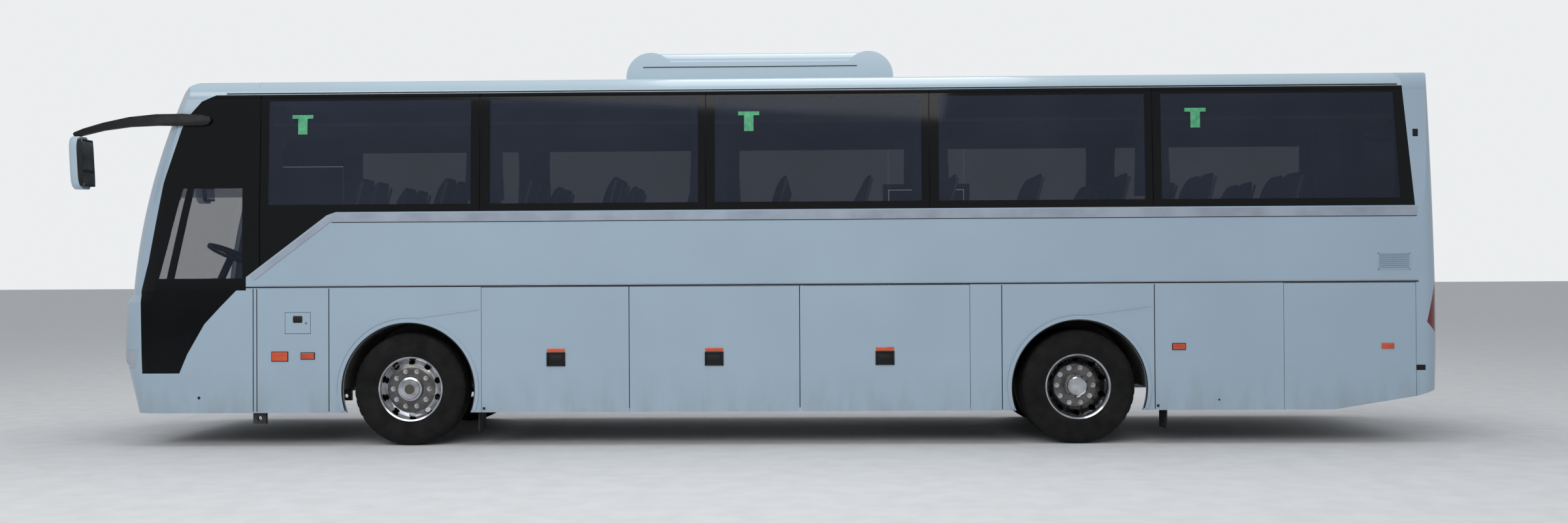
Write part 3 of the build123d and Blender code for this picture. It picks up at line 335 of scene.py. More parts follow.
print("stage: tools for shapes")
skinNodes = (
    "lower_sides waist_panels window_walls side_glass roof front_mask front_bumper cab_side_panel "
    "rear_wall rear_bumper rear_window windscreen fuel_flap engine_lid door_front door_middle "
    "headlamps tail_lamps")
skinVerts = []
skinFaces = []
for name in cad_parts:
    if name in skinNodes.split() or name.startswith(("flap_", "service_")):
        mesh = bpy.data.objects[name].data
        start = len(skinVerts)
        skinVerts += [vertex.co.copy() for vertex in mesh.vertices]
        skinFaces += [[start + index for index in face.vertices] for face in mesh.polygons]
skin = BVHTree.FromPolygons(skinVerts, skinFaces)


def skinY(x, z, side):  # where the outside of the body is, seen from the side
    hit = skin.ray_cast(Vector((x, side * 3.0, z)), Vector((0, -side, 0)))
    return abs(hit[0].y) if hit[0] is not None else wallY(z)


def skinX(y, z, end):  # where the outside of the body is, seen from the front (-1) or rear (1)
    hit = skin.ray_cast(Vector((end * 8.0, y, z)), Vector((-end, 0, 0)))
    return hit[0].x if hit[0] is not None else (frontX if end < 0 else rearX)


class Maker:  # collects shapes into one mesh, then turns it into a finished piece
    def __init__(self, name):
        self.name = name
        self.bm = bmesh.new()

    def face(self, corners):
        self.bm.faces.new(corners)

    def bridge(self, first, second):  # a band of faces between two rings of vertices
        for index in range(len(first)):
            following = (index + 1) % len(first)
            self.face((first[index], first[following], second[following], second[index]))

    def rounded(self, vertices, offset, steps=2):  # a bevel on every edge of some vertices
        edges = list({edge for vertex in vertices for edge in vertex.link_edges})
        bmesh.ops.bevel(self.bm, geom=edges, offset=offset, segments=steps, profile=0.5, affect="EDGES")

    def solid(self, rings):  # a skin over rings of points, with end caps
        made = [[self.bm.verts.new(point) for point in ring] for ring in rings]
        for first, second in zip(made, made[1:]):
            self.bridge(first, second)
        self.face(list(reversed(made[0])))
        self.face(made[-1])
        return self

    def box(self, low, high, bevel=0.0, steps=2):
        made = bmesh.ops.create_cube(self.bm, size=1.0)["verts"]
        for vertex in made:
            for axis in range(3):
                vertex.co[axis] = low[axis] if vertex.co[axis] < 0 else high[axis]
        if bevel:
            self.rounded(made, bevel, steps)
        return self

    def sideBox(self, x, z, side, reach, bevel=0.0, steps=2):  # a box whose reach counts out from the middle
        y0, y1 = sorted((side * reach[0], side * reach[1]))
        return self.box((x[0], y0, z[0]), (x[1], y1, z[1]), bevel, steps)

    def tube(self, points, radius, count=12):  # a round bar along a line of points
        points = [Vector(point) for point in points]
        rings = []
        normal = None
        for index, point in enumerate(points):
            ahead = points[min(index + 1, len(points) - 1)] - points[max(index - 1, 0)]
            ahead.normalize()
            if normal is None:
                normal = ahead.orthogonal().normalized()
            normal = (normal - ahead * normal.dot(ahead)).normalized()
            across = ahead.cross(normal)
            rings.append([point + radius * (math.cos(turn) * normal + math.sin(turn) * across)
                          for turn in circle(count)])
        return self.solid(rings)

    def plate(self, outline, reach, side, bevel=0.0):  # an outline in side view, given a thickness
        before = set(self.bm.verts)
        self.solid([[(x, y, z) for x, z in outline] for y in sorted((side * reach[0], side * reach[1]))])
        if bevel:
            self.rounded([vertex for vertex in self.bm.verts if vertex not in before], bevel)
        return self

    def ribbon(self, points, width, side, lift=0.002, sink=0.003):  # a strip that follows the body's side
        rings = []
        for index, (x, z) in enumerate(points):
            before = Vector(points[max(index - 1, 0)])
            after = Vector(points[min(index + 1, len(points) - 1)])
            along = (after - before).normalized()
            across = Vector((-along.y, along.x)) * width / 2
            ring = []
            for turn, out in ((-1, -sink), (1, -sink), (1, lift), (-1, lift)):
                px = x + turn * across.x
                pz = z + turn * across.y
                ring.append((px, side * (skinY(px, pz, side) + out), pz))
            rings.append(ring)
        return self.solid(rings)

    def lathe(self, profile, centre, segments=96, wave=None):  # turned about the Y axis of a wheel
        rows = []
        for step, turn in enumerate(circle(segments)):
            row = []
            for index, (radius, y) in enumerate(profile):
                reach = radius + (wave(index, step) if wave else 0.0)
                point = Vector((reach * math.cos(turn), y, reach * math.sin(turn)))
                row.append(self.bm.verts.new(point + Vector(centre)))
            rows.append(row)
        for first, second in zip(rows, rows[1:] + rows[:1]):
            self.bridge(first, second)
        return self

    def done(self, finish, slotName, body="coach", replaces=(), angle=35):
        bmesh.ops.remove_doubles(self.bm, verts=self.bm.verts, dist=0.000005)
        bmesh.ops.recalc_face_normals(self.bm, faces=self.bm.faces)
        mesh = bpy.data.meshes.new(self.name)
        self.bm.to_mesh(mesh)
        self.bm.free()
        for face in mesh.polygons:
            face.use_smooth = True
        mesh.set_sharp_from_angle(angle=math.radians(angle))
        mesh.materials.append(finish)
        piece = linked(self.name, mesh)
        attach(piece, body)
        if replaces:
            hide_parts(*replaces)
        return piece


def along(start, end, step=0.25):  # points from one place to another, a step apart
    count = max(1, int(math.ceil(math.dist(start, end) / step)))
    return [(start[0] + (end[0] - start[0]) * n / count, start[1] + (end[1] - start[1]) * n / count)
            for n in range(count + 1)]


def arc(centreX, centreZ, radius, first, last, count=40):
    turns = [math.radians(first + (last - first) * n / count) for n in range(count + 1)]
    return [(centreX + radius * math.cos(turn), centreZ + radius * math.sin(turn)) for turn in turns]


print("stage: wheels")
wheels = {"studs": 10, "studCircle": 0.1675, "nutSize": 0.0185, "handHoles": 10, "handHoleCircle": 0.245,
          "handHoleRadius": 0.026, "treadGrooves": 4, "grooveDepth": 0.014, "ridges": 0.0022,
          "shoulderCut": 0.006, "halfSection": 0.1475, "twinGap": 0.33}


def outlineTyre(values):  # radius and width places of one tyre, its outer side toward minus Y
    half = 0.1465
    outer = tyreRadius
    side = [(0.296, -0.112), (0.300, -0.124), (0.318, -0.131), (0.345, -0.138), (0.349, -0.1405),
            (0.356, -0.1405), (0.360, -0.141), (0.395, -0.1455), (0.432, -half),
            (0.436, -half - values["ridges"] * 0.2), (0.440, -half), (0.466, -0.144), (0.470, -0.1445),
            (0.474, -0.1425), (0.492, -0.138), (0.505, -0.131), (0.514, -0.122)]
    tread = []
    width = 0.238
    for groove in range(values["treadGrooves"]):
        centre = -width / 2 + width * (groove + 0.75) / (values["treadGrooves"] + 0.5)
        tread += [(outer - 0.0012, centre - 0.0065), (outer - values["grooveDepth"], centre - 0.0045),
                  (outer - values["grooveDepth"], centre + 0.0045), (outer - 0.0012, centre + 0.0065)]
    mirrored = [(radius, -y) for radius, y in reversed(side)]
    inside = [(0.296, 0.100), (0.320, 0.122), (0.400, 0.134), (0.470, 0.130), (0.496, 0.110), (0.500, 0.0)]
    inside += [(radius, -y) for radius, y in reversed(inside[:-1])]
    return side + tread + mirrored + inside


tyreOutline = outlineTyre(wheels)


def treadWave(index, step):  # cross cuts at the shoulders of the tread
    radius, y = tyreOutline[index]
    atShoulder = 0.503 < radius < 0.516 and abs(y) > 0.115
    return -wheels["shoulderCut"] if atShoulder and step % 4 == 0 else 0.0


def rimOutline(kind, side):  # one closed profile in radius and Y, outer side first
    if kind == "front":
        disc = [(0.060, -0.098), (0.118, -0.096), (0.150, -0.088), (0.190, -0.090), (0.222, -0.078),
                (0.262, -0.052), (0.270, -0.078), (0.276, -0.100)]
    else:
        disc = [(0.060, 0.052), (0.150, 0.050), (0.196, 0.052), (0.216, 0.040), (0.244, 0.010),
                (0.258, -0.030), (0.266, -0.078), (0.274, -0.100)]
    lip = [(0.284, -0.114), (0.298, -0.119), (0.3015, -0.1155), (0.2985, -0.110), (0.288, -0.104),
           (0.284, -0.090)]
    barrel = [(0.284, 0.090), (0.288, 0.104), (0.2985, 0.110), (0.3015, 0.1155), (0.298, 0.119),
              (0.284, 0.114), (0.272, 0.090)]
    if kind == "front":
        back = [(0.266, -0.020), (0.256, -0.034), (0.216, -0.062), (0.186, -0.076), (0.150, -0.074),
                (0.060, -0.080)]
    else:
        back = [(0.264, 0.040), (0.250, 0.046), (0.222, 0.060), (0.196, 0.068), (0.150, 0.066),
                (0.060, 0.068)]
    return [(radius, side * -y) for radius, y in disc + lip + barrel + back]


def cutHoles(piece, centre, values, inner):  # the hand holes round a wheel disc
    cutter = Maker("handHoleTool")
    for number in range(values["handHoles"]):
        turn = 2 * math.pi * (number + 0.5) / values["handHoles"]
        across = Vector((-math.sin(turn), 0, math.cos(turn)))
        outward = Vector((math.cos(turn), 0, math.sin(turn)))
        middle = outward * values["handHoleCircle"] + Vector(centre)
        cutter.solid([[
            middle + Vector((0, y, 0)) + values["handHoleRadius"] * (
                math.cos(a) * across * 1.15 + math.sin(a) * outward * 0.85)
            for a in circle(20)] for y in (-inner, inner)])
    bmesh.ops.recalc_face_normals(cutter.bm, faces=cutter.bm.faces)
    tool = linked("handHoleTool", bpy.data.meshes.new("handHoleTool"))
    cutter.bm.to_mesh(tool.data)
    cut = piece.modifiers.new("holes", "BOOLEAN")
    cut.object = tool
    cut.solver = "EXACT"
    keepShape(piece)
    bpy.data.objects.remove(tool)


def keepShape(piece):  # turns what the modifiers make into the piece's own mesh
    graph = bpy.context.evaluated_depsgraph_get()
    mesh = bpy.data.meshes.new_from_object(piece.evaluated_get(graph))
    piece.modifiers.clear()
    piece.data = mesh


class Grown(Wiring):  # a node group that sets one shape on many points, in one finish
    def __init__(self, name, *lengths):
        super().__init__(bpy.data.node_groups.new(name, "GeometryNodeTree"))
        kinds = {"Geometry": "Geometry", "Count": "Int", **dict.fromkeys(lengths, "Float"),
                 "Finish": "Material"}
        for title, kind in kinds.items():
            self.tree.interface.new_socket(title, in_out="INPUT", socket_type="NodeSocket" + kind)
        self.tree.interface.new_socket("Geometry", in_out="OUTPUT", socket_type="NodeSocketGeometry")
        self.given = self.add("NodeGroupInput").outputs

    def repeat(self, points, shape):
        placed = self.add("GeometryNodeInstanceOnPoints", Points=points, Instance=shape)
        real = self.add("GeometryNodeRealizeInstances", Geometry=placed.outputs[0])
        colour = self.add("GeometryNodeSetMaterial", Geometry=real.outputs[0], Material=self.given["Finish"])
        self.add("NodeGroupOutput", Geometry=colour.outputs[0])
        return self.tree


def nutTree(values):  # wheel nuts: a ring of hexagons with a washer and a stud end each
    tree = Grown("wheelNuts", "Circle", "Size")
    ring = tree.add("GeometryNodeMeshCircle", Vertices=tree.given["Count"], Radius=tree.given["Circle"])
    joined = tree.add("GeometryNodeJoinGeometry")
    for count, scale, depth, lift in ((24, 1.25, 0.22, 0.0), (6, 1.0, 1.1, 0.6), (16, 0.55, 1.0, 1.4)):
        reach = tree.math("MULTIPLY", tree.given["Size"], scale)
        deep = tree.math("MULTIPLY", tree.given["Size"], depth)
        part = tree.add("GeometryNodeMeshCylinder", Vertices=count, Radius=reach, Depth=deep)
        shift = (0, 0, lift * values["nutSize"])
        moved = tree.add("GeometryNodeTransform", Geometry=part.outputs["Mesh"], Translation=shift)
        tree.plug(joined.inputs[0], moved.outputs[0])
    return tree.repeat(ring.outputs[0], joined.outputs[0])


def grow(name, tree, values, matrix, body):  # runs a node group once and puts its mesh in place
    piece = linked(name, bpy.data.meshes.new(name))
    grower = piece.modifiers.new("grow", "NODES")
    grower.node_group = tree
    for item in tree.interface.items_tree:
        if item.in_out == "INPUT" and item.name in values:
            grower[item.identifier] = values[item.name]
    keepShape(piece)
    piece.data.transform(matrix)
    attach(piece, body)


def hubRings(kind, side):
    if kind == "front":
        rows = [(0.118, -0.094), (0.118, -0.120), (0.110, -0.134), (0.092, -0.139), (0.088, -0.147),
                (0.060, -0.150), (0.001, -0.151), (0.001, -0.090)]
    else:
        rows = [(0.110, 0.052), (0.110, -0.010), (0.104, -0.050), (0.096, -0.058), (0.092, -0.062),
                (0.088, -0.086), (0.078, -0.094), (0.001, -0.096), (0.001, 0.055)]
    return [(radius, side * -y) for radius, y in rows]


def dressWheel(kind, side, sideName, values):  # tyres, rim, hub and nuts of one corner
    corner = kind + "_" + sideName
    body = "wheel_" + corner
    low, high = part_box("tyre_" + corner)
    outerY = (low.y if side < 0 else high.y) - side * values["halfSection"]
    places = [outerY] if kind == "front" else [outerY, outerY - side * values["twinGap"]]
    wheelX = (low.x + high.x) / 2
    centre = (wheelX, outerY, wheelZ)
    tyre = Maker("tyre_" + corner + "_detail")
    for place in places:
        tyre.lathe(tyreOutline, (wheelX, place, wheelZ), 144, treadWave)
    tyre.done(tyreBlack, "tyre_rubber", body, ["tyre_" + corner], 30)
    rim = Maker("rim_" + corner + "_detail").lathe(rimOutline(kind, side), centre)
    rim = rim.done(chrome, "polished_rim", body, ["rim_" + corner], 30)
    cutHoles(rim, centre, values, 0.2)
    rim.data.materials.append(discMetal)
    for face in rim.data.polygons:
        reach = math.hypot(face.center.x - wheelX, face.center.z - wheelZ)
        if reach < 0.215 or (face.center.y - outerY) * side < 0.045:
            face.material_index = 1
    if kind == "rear":
        inner = Maker("rim_" + corner + "_inner")
        inner.lathe(rimOutline("rear", -side), (wheelX, places[1], wheelZ), 72)
        inner.done(chassisBlack, "cast_metal", body, (), 30)
    hub = Maker("hub_" + corner).lathe(hubRings(kind, side), centre, 64)
    hub.done(chrome, "polished_rim", body, (), 30)
    face = 0.093 if kind == "front" else -0.049
    stand = Matrix.Translation((wheelX, outerY + side * face, wheelZ)) @ turned(90 if side < 0 else -90, "X")
    settings = {"Count": values["studs"], "Circle": values["studCircle"], "Size": values["nutSize"],
                "Finish": chrome}
    grow("nuts_" + corner, nuts, settings, stand, body)


nuts = nutTree(wheels)
for kind in ("front", "rear"):
    for side, sideName in sides:
        dressWheel(kind, side, sideName, wheels)

print("stage: trim along the sides")
trim = {"seam": 0.008, "belt": 0.012, "moulding": 0.080, "archLip": 0.036, "light": 0.007}
seamPlaces = [-4.594, -4.560, -3.890, 2.294, 3.679]
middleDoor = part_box("door_middle")
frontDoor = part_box("door_front")
flapNodes = [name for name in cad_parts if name.startswith(("flap_", "service_", "fuel_"))]


def clearRuns(start, end, side, z, gap=0.012):  # parts of a level line that miss the doors and flaps
    blocked = []
    if side > 0:
        blocked.append((middleDoor[0].x - gap, middleDoor[1].x + gap))
        blocked.append((frontDoor[0].x - 0.5, frontDoor[1].x + gap))
    for name in flapNodes:
        low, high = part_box(name)
        if low.z - gap < z < high.z + gap and (low.y + high.y) * side > 0:
            blocked.append((low.x - gap, high.x + gap))
    runs = []
    here = start
    for low, high in sorted(blocked):
        if high <= here or low >= end:
            continue
        if low - here > 0.05:
            runs.append((here, low))
        here = max(here, high)
    if end - here > 0.05:
        runs.append((here, end))
    return runs


def inClear(x, side, z):  # whether a spot on the side is clear of doors and flaps
    return clearRuns(x - 0.03, x + 0.03, side, z) == [(x - 0.03, x + 0.03)]


for side, sideName in sides:
    dark = Maker("seams_" + sideName)
    light = Maker("light_line_" + sideName)
    mould = Maker("moulding_" + sideName)
    lips = Maker("arch_lips_" + sideName)
    edges = Maker("arch_rubber_" + sideName)
    for x in seamPlaces:
        top = beltZ - 0.006
        foot = skirtZ + 0.012
        if inClear(x, side, (top + foot) / 2):
            dark.ribbon(along((x, foot), (x, top)), trim["seam"], side, 0.0012)
    for start, end in clearRuns(-4.661, 6.06, side, beltZ + 0.008):
        dark.ribbon(along((start, beltZ + 0.008), (end, beltZ + 0.008)), trim["belt"], side, 0.0016)
        light.ribbon(along((start, beltZ + 0.020), (end, beltZ + 0.020)), trim["light"], side, 0.0030)
    level = sillZ - 0.052
    if side < 0:
        mould.ribbon(along((-4.600, 1.553), (-3.872, 2.100), 0.1), 0.050, side, 0.0055)
    for start, end in clearRuns(-3.86, 6.05, side, level):
        mould.ribbon(along((start, level), (end, level)), trim["moulding"], side, 0.0055)
        dark.ribbon(along((start, level - 0.044), (end, level - 0.044)), 0.006, side, 0.0022)
    for axleX in (frontAxleX, rearAxleX):
        lips.ribbon(arc(axleX, wheelZ, 0.632, -18, 198, 60), trim["archLip"], side, 0.009)
        edges.ribbon(arc(axleX, wheelZ, 0.6135, -18, 198, 60), 0.008, side, 0.012)
        crease = arc(axleX, wheelZ, 0.668, 182, 84, 34)
        crease += [(axleX + 0.20 + 0.09 * n, wheelZ + 0.678 + 0.012 * n) for n in range(6)]
        lips.ribbon(crease, 0.014, side, 0.0045)
    dark.done(rubber, "dark_trim")
    light.done(greyMoulding, "dark_trim")
    mould.done(greyMoulding, "dark_trim")
    lips.done(whitePaint, "body_paint")
    edges.done(rubber, "rubber_flap")

print("stage: side lamps and reflectors")
sideLamps = {"amber": [(-4.419, -4.273, 0.789, 0.870)], "reflectors": [(-4.147, -4.025, 0.807, 0.861)],
             "rearReflectors": [(3.841, 3.954, 0.860, 0.912), (5.724, 5.835, 0.858, 0.910)], "edge": 0.006}
for side, sideName in sides:
    lens = Maker("side_lenses_" + sideName)
    rimStrip = Maker("side_lens_rims_" + sideName)
    for x0, x1, z0, z1 in sideLamps["amber"] + sideLamps["reflectors"] + sideLamps["rearReflectors"]:
        if not inClear((x0 + x1) / 2, side, (z0 + z1) / 2):
            continue
        y = skinY((x0 + x1) / 2, (z0 + z1) / 2, side)
        edge = sideLamps["edge"]
        rimStrip.sideBox((x0 - edge, x1 + edge), (z0 - edge, z1 + edge), side, (y - 0.004, y + 0.005), 0.002)
        lens.sideBox((x0, x1), (z0, z1), side, (y - 0.002, y + 0.011), 0.004, 3)
    lens.done(amberLens, "lamp_lens")
    rimStrip.done(darkPlastic, "dark_trim")
    lens = Maker("service_reflector_" + sideName)
    x0, x1, z0, z1 = sideLamps["rearReflectors"][1]
    lens.sideBox((x0, x1), (z0, z1), side, (sideY - 0.002, sideY + 0.009), 0.004, 3)
    lens.done(amberLens, "lamp_lens", "service_flap_" + sideName)

print("stage: flap handles")
handle = {"wide": 0.172, "tall": 0.166, "amber": 0.040, "z": 0.730, "bar": 0.014, "reach": (-0.002, 0.012),
          "middles": {"front": -1.790, "middle": -0.335, "rear": 1.227}}


def flapHandle(side, sideName, place, middle, values):  # a recessed grip under an amber lens
    node = "flap_" + sideName + "_" + place
    low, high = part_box(node)
    half = values["wide"] / 2
    if middle - half < low.x + 0.02 or middle + half > high.x - 0.02:
        middle = (low.x + high.x) / 2
    x0 = middle - half
    x1 = middle + half
    z0 = values["z"]
    z1 = z0 + values["tall"]
    top = z1 - values["amber"]
    bar = values["bar"]
    rim = values["reach"]
    grip = Maker("handle_" + sideName + "_" + place)
    for x, z, reach, bevel in (
            ((x0, x1), (z0, z0 + bar), rim, 0.003), ((x0, x1), (top - bar, top), rim, 0.003),
            ((x0, x0 + bar), (z0, top), rim, 0.003), ((x1 - bar, x1), (z0, top), rim, 0.003),
            ((x0 + 0.006, x1 - 0.006), (z0 + 0.006, top - 0.006), (-0.002, 0.0025), 0.001),
            ((x0 + 0.030, x1 - 0.030), (z0 + 0.046, top - 0.030), (0.001, 0.010), 0.003)):
        grip.sideBox(x, z, side, (sideY + reach[0], sideY + reach[1]), bevel)
    grip.done(darkPlastic, "dark_plastic", node)
    glow = Maker("handle_lens_" + sideName + "_" + place)
    reach = (sideY - 0.002, sideY + 0.010)
    glow.sideBox((x0 + 0.004, x1 - 0.004), (top + 0.003, z1 - 0.003), side, reach, 0.004)
    glow.done(amberLens, "lamp_lens", node)


for side, sideName in sides:
    for place, middle in handle["middles"].items():
        flapHandle(side, sideName, place, middle, handle)

print("stage: fuel flap latch")
latchShares = {"x": (0.32, 0.68), "z": (0.52, 0.84), "key": (0.83, 0.5)}
fuelLow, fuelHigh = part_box("fuel_flap")
fuelWide = fuelHigh.x - fuelLow.x
fuelTall = fuelHigh.z - fuelLow.z
latchX = [fuelLow.x + share * fuelWide for share in latchShares["x"]]
latchZ = [fuelLow.z + share * fuelTall for share in latchShares["z"]]
latch = Maker("fuel_latch").sideBox(latchX, latchZ, -1, (sideY - 0.002, sideY + 0.006), 0.008)
latch.done(darkPlastic, "dark_plastic", "fuel_flap")
keyX = fuelLow.x + latchShares["key"][0] * fuelWide
keyZ = fuelLow.z + latchShares["key"][1] * fuelTall
key = Maker("fuel_keyhole")
for inner, outer, radius in ((-0.002, 0.004, 0.011), (0.003, 0.007, 0.007)):
    key.tube([(keyX, -sideY - inner, keyZ), (keyX, -sideY - outer, keyZ)], radius, 24)
key.done(chrome, "cast_metal", "fuel_flap")

print("stage: seats")
seats = {"firstX": -4.275, "pitch": 0.79, "rows": 12, "blocked": (7, 8), "aisle": 0.24, "width": 0.45,
         "floorZ": 1.4}


# A padded outline with sewn channels
def softRing(count, halfWide, halfDeep, power, channels, groove):
    ring = []
    for turn in circle(count):
        across = math.copysign(abs(math.sin(turn)) ** power, math.sin(turn))
        deep = math.copysign(abs(math.cos(turn)) ** power, math.cos(turn))
        dent = 0.0
        if channels and math.cos(turn) < 0 and abs(across) < 0.9:
            dent = groove * (1 - abs(math.sin(math.pi * channels * (across + 1) / 2)) ** 0.5)
        ring.append((across * halfWide, deep * halfDeep + dent))
    return ring


def seatShape(maker, x, y0, y1, z):  # a crowned cushion and a shaped back, both with sewn channels
    middle = (y0 + y1) / 2
    half = (y1 - y0) / 2
    rows = [(0.012, 0.014, 0.90), (0.022, 0.036, 0.955), (0.050, 0.050, 0.985), (0.140, 0.056, 0.995),
            (0.240, 0.058, 1.0), (0.340, 0.056, 0.99), (0.420, 0.050, 0.98), (0.452, 0.034, 0.955),
            (0.462, 0.012, 0.90)]
    rings = []
    for px, deep, wide in rows:
        outline = softRing(44, half * wide, deep, 0.42, 4, 0.006)
        rings.append([(x + px, middle + a, z + 0.424 - b) for a, b in outline])
    maker.solid(rings)
    rows = [(0.452, 0.400, 0.050), (0.470, 0.455, 0.056), (0.492, 0.560, 0.055), (0.520, 0.700, 0.052),
            (0.552, 0.828, 0.044), (0.560, 0.845, 0.036), (0.568, 0.862, 0.043), (0.596, 0.960, 0.040),
            (0.626, 1.040, 0.030), (0.640, 1.068, 0.020), (0.645, 1.080, 0.008)]
    rings = []
    for px, pz, deep in rows:
        narrow = 0.0 if pz < 0.95 else (pz - 0.95) * 0.55
        channels = 4 if pz < 0.84 else 0
        outline = softRing(44, half - narrow, deep, 0.42, channels, 0.007)
        rings.append([(x + px + b, middle + a, z + pz) for a, b in outline])
    maker.solid(rings)


def seatEdges(maker, x, y0, y1, z):  # pale edge trims and the grab handle
    for y in (y0 + 0.006, y1 - 0.006):
        maker.tube([(x + 0.520, y, z + 0.44), (x + 0.552, y, z + 0.56), (x + 0.574, y, z + 0.70),
                    (x + 0.604, y, z + 0.84), (x + 0.636, y, z + 0.96), (x + 0.660, y, z + 1.045)], 0.013, 8)
    maker.box((x + 0.150, y0 + 0.05, z + 0.002), (x + 0.210, y0 + 0.10, z + 0.38), 0.006)
    maker.box((x + 0.360, y0 + 0.05, z + 0.002), (x + 0.420, y0 + 0.10, z + 0.38), 0.006)
    maker.box((x + 0.120, y0 + 0.03, z + 0.335), (x + 0.450, y1 - 0.03, z + 0.368), 0.006)


for side, sideName in sides:
    pads = Maker("seat_pads_" + sideName)
    frames = Maker("seat_frames_" + sideName)
    for row in range(seats["rows"]):
        if side > 0 and row in seats["blocked"]:
            continue
        x = seats["firstX"] + row * seats["pitch"]
        for inner in (seats["aisle"], seats["aisle"] + seats["width"] + 0.012):
            low, high = sorted((side * inner, side * (inner + seats["width"])))
            seatShape(pads, x, low + 0.004, high - 0.004, seats["floorZ"])
            seatEdges(frames, x, low + 0.004, high - 0.004, seats["floorZ"])
    soft = pads.done(seatCloth, "seat_fabric", replaces=["seats"] if side < 0 else ())
    frames.done(greyGrip, "dark_plastic")

print("stage: curtains")
curtains = {"top": 3.165, "foot": 2.262, "wide": 0.186, "pleats": 7, "depth": 0.011, "thick": 0.0015,
            "rows": 12, "inset": 0.105, "pinch": 0.16}
curtainPlaces = {"a": -4.440, "b": -2.560, "c": -2.380, "d": -0.470, "e": -0.305, "f": 1.585, "g": 1.745,
                 "h": 3.620, "i": 3.770}
curtainCloth = plainFinish("curtainCloth", (66, 76, 96), (88, 98, 118), 0.95, grain=500, bump=0.4, scale=14)


def hangCurtain(name, middle, side, values):  # a pleated strip between the rail and its lower tie
    columns = values["pleats"] * 8
    rows = values["rows"]
    tall = values["top"] - values["foot"]
    maker = Maker(name)
    points = {}
    for row in range(rows + 1):
        z = values["foot"] + tall * row / rows
        pinch = 1.0 - values["pinch"] * math.sin(math.pi * (row / rows)) ** 2
        drift = 0.5 * math.sin(4.0 * row / rows)
        for column in range(columns + 1):
            share = column / columns
            x = middle + (share - 0.5) * values["wide"] * pinch
            fold = values["depth"] * math.sin(2 * math.pi * values["pleats"] * share + drift)
            for layer in (0, 1):
                y = side * (wallY(z) - values["inset"] + fold + layer * values["thick"])
                points[(layer, row, column)] = maker.bm.verts.new((x, y, z))
    for row in range(rows):
        for column in range(columns):
            for layer in (0, 1):
                maker.face([points[(layer, row + a, column + b)] for a,
                            b in ((0, 0), (0, 1), (1, 1), (1, 0))])
        for column in (0, columns):
            maker.face([points[(layer, row + a, column)] for layer, a in ((0, 0), (0, 1), (1, 1), (1, 0))])
    for column in range(columns):
        for row in (0, rows):
            maker.face([points[(layer, row, column + a)] for layer, a in ((0, 0), (0, 1), (1, 1), (1, 0))])
    piece = maker.done(curtainCloth, "seat_fabric", angle=80)


for side, sideName in sides:
    for mark, middle in curtainPlaces.items():
        if side < 0 or not middleDoor[0].x - 0.25 < middle < middleDoor[1].x + 0.25:
            hangCurtain("curtain_" + sideName + "_" + mark, middle, side, curtains)

print("stage: roof seams and roof fittings")


def overRoof(maker, x, width, lift, first=22, last=158, count=60):  # a strip that crosses the roof
    across = Vector((width / 2, 0, 0))
    corners = ((-1, -0.004), (1, -0.004), (1, lift), (-1, lift))
    rings = []
    for step in range(count + 1):
        turn = math.radians(first + (last - first) * step / count)
        outward = Vector((0, -math.cos(turn), math.sin(turn)))
        hit = skin.ray_cast(Vector((x, 0, 2.85)) + outward * 4, -outward)
        if hit[0] is not None:
            rings.append([hit[0] + across * a + outward * b for a, b in corners])
    maker.solid(rings)


roofLines = Maker("roof_seams")
for x in (-4.557, 5.915):
    overRoof(roofLines, x, 0.010, 0.0012)
roofLines.done(rubber, "dark_trim")
gutters = Maker("roof_gutters")
for side in (-1, 1):
    gutters.ribbon(along((-4.85, headerZ + 0.012), (5.90, headerZ + 0.012), 0.2), 0.010, side, 0.006)
gutters.done(rubber, "dark_trim")

acLow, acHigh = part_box("air_conditioner")
cooler = {"fans": 4, "fanRadius": 0.19, "grooveZ": 0.115, "grooveY": 0.903, "fanEnd": 0.42, "rings": 5,
          "spokes": 8}
acTrim = Maker("cooler_grooves")
acGrill = Maker("cooler_fan_guards")
grooveLow = acLow.z + cooler["grooveZ"]
for side in (-1, 1):
    y = side * cooler["grooveY"]
    acTrim.box((acLow.x + 0.16, y - 0.002, grooveLow), (acHigh.x - 0.34, y + 0.002, grooveLow + 0.007))


def fanPoint(x, radius, turn, lift):  # a point on a fan guard, seen from above
    return (x + radius * math.cos(turn), radius * math.sin(turn), acHigh.z + lift)


for number in range(cooler["fans"]):
    fanRun = acHigh.x - acLow.x - 2 * cooler["fanEnd"]
    x = acLow.x + cooler["fanEnd"] + number * fanRun / (cooler["fans"] - 1)
    for ring in range(1, cooler["rings"] + 1):
        radius = cooler["fanRadius"] * ring / cooler["rings"]
        acGrill.tube([fanPoint(x, radius, turn, 0.001) for turn in circle(40, 1)], 0.003, 6)
    for turn in circle(cooler["spokes"]):
        acGrill.tube([fanPoint(x, radius, turn, 0.002) for radius in (0.02, cooler["fanRadius"])], 0.003, 6)
acTrim.done(rubber, "dark_trim")
acGrill.done(chassisBlack, "dark_plastic")

aerial = Maker("roof_aerial")
aerial.tube([(2.419, 0.0, 3.44), (2.419, 0.0, 3.475)], 0.035, 24)
aerial.tube([(2.419, 0.0, 3.474), (2.445, 0.0, 3.520)], 0.006, 10)
aerial.done(rubber, "dark_plastic")

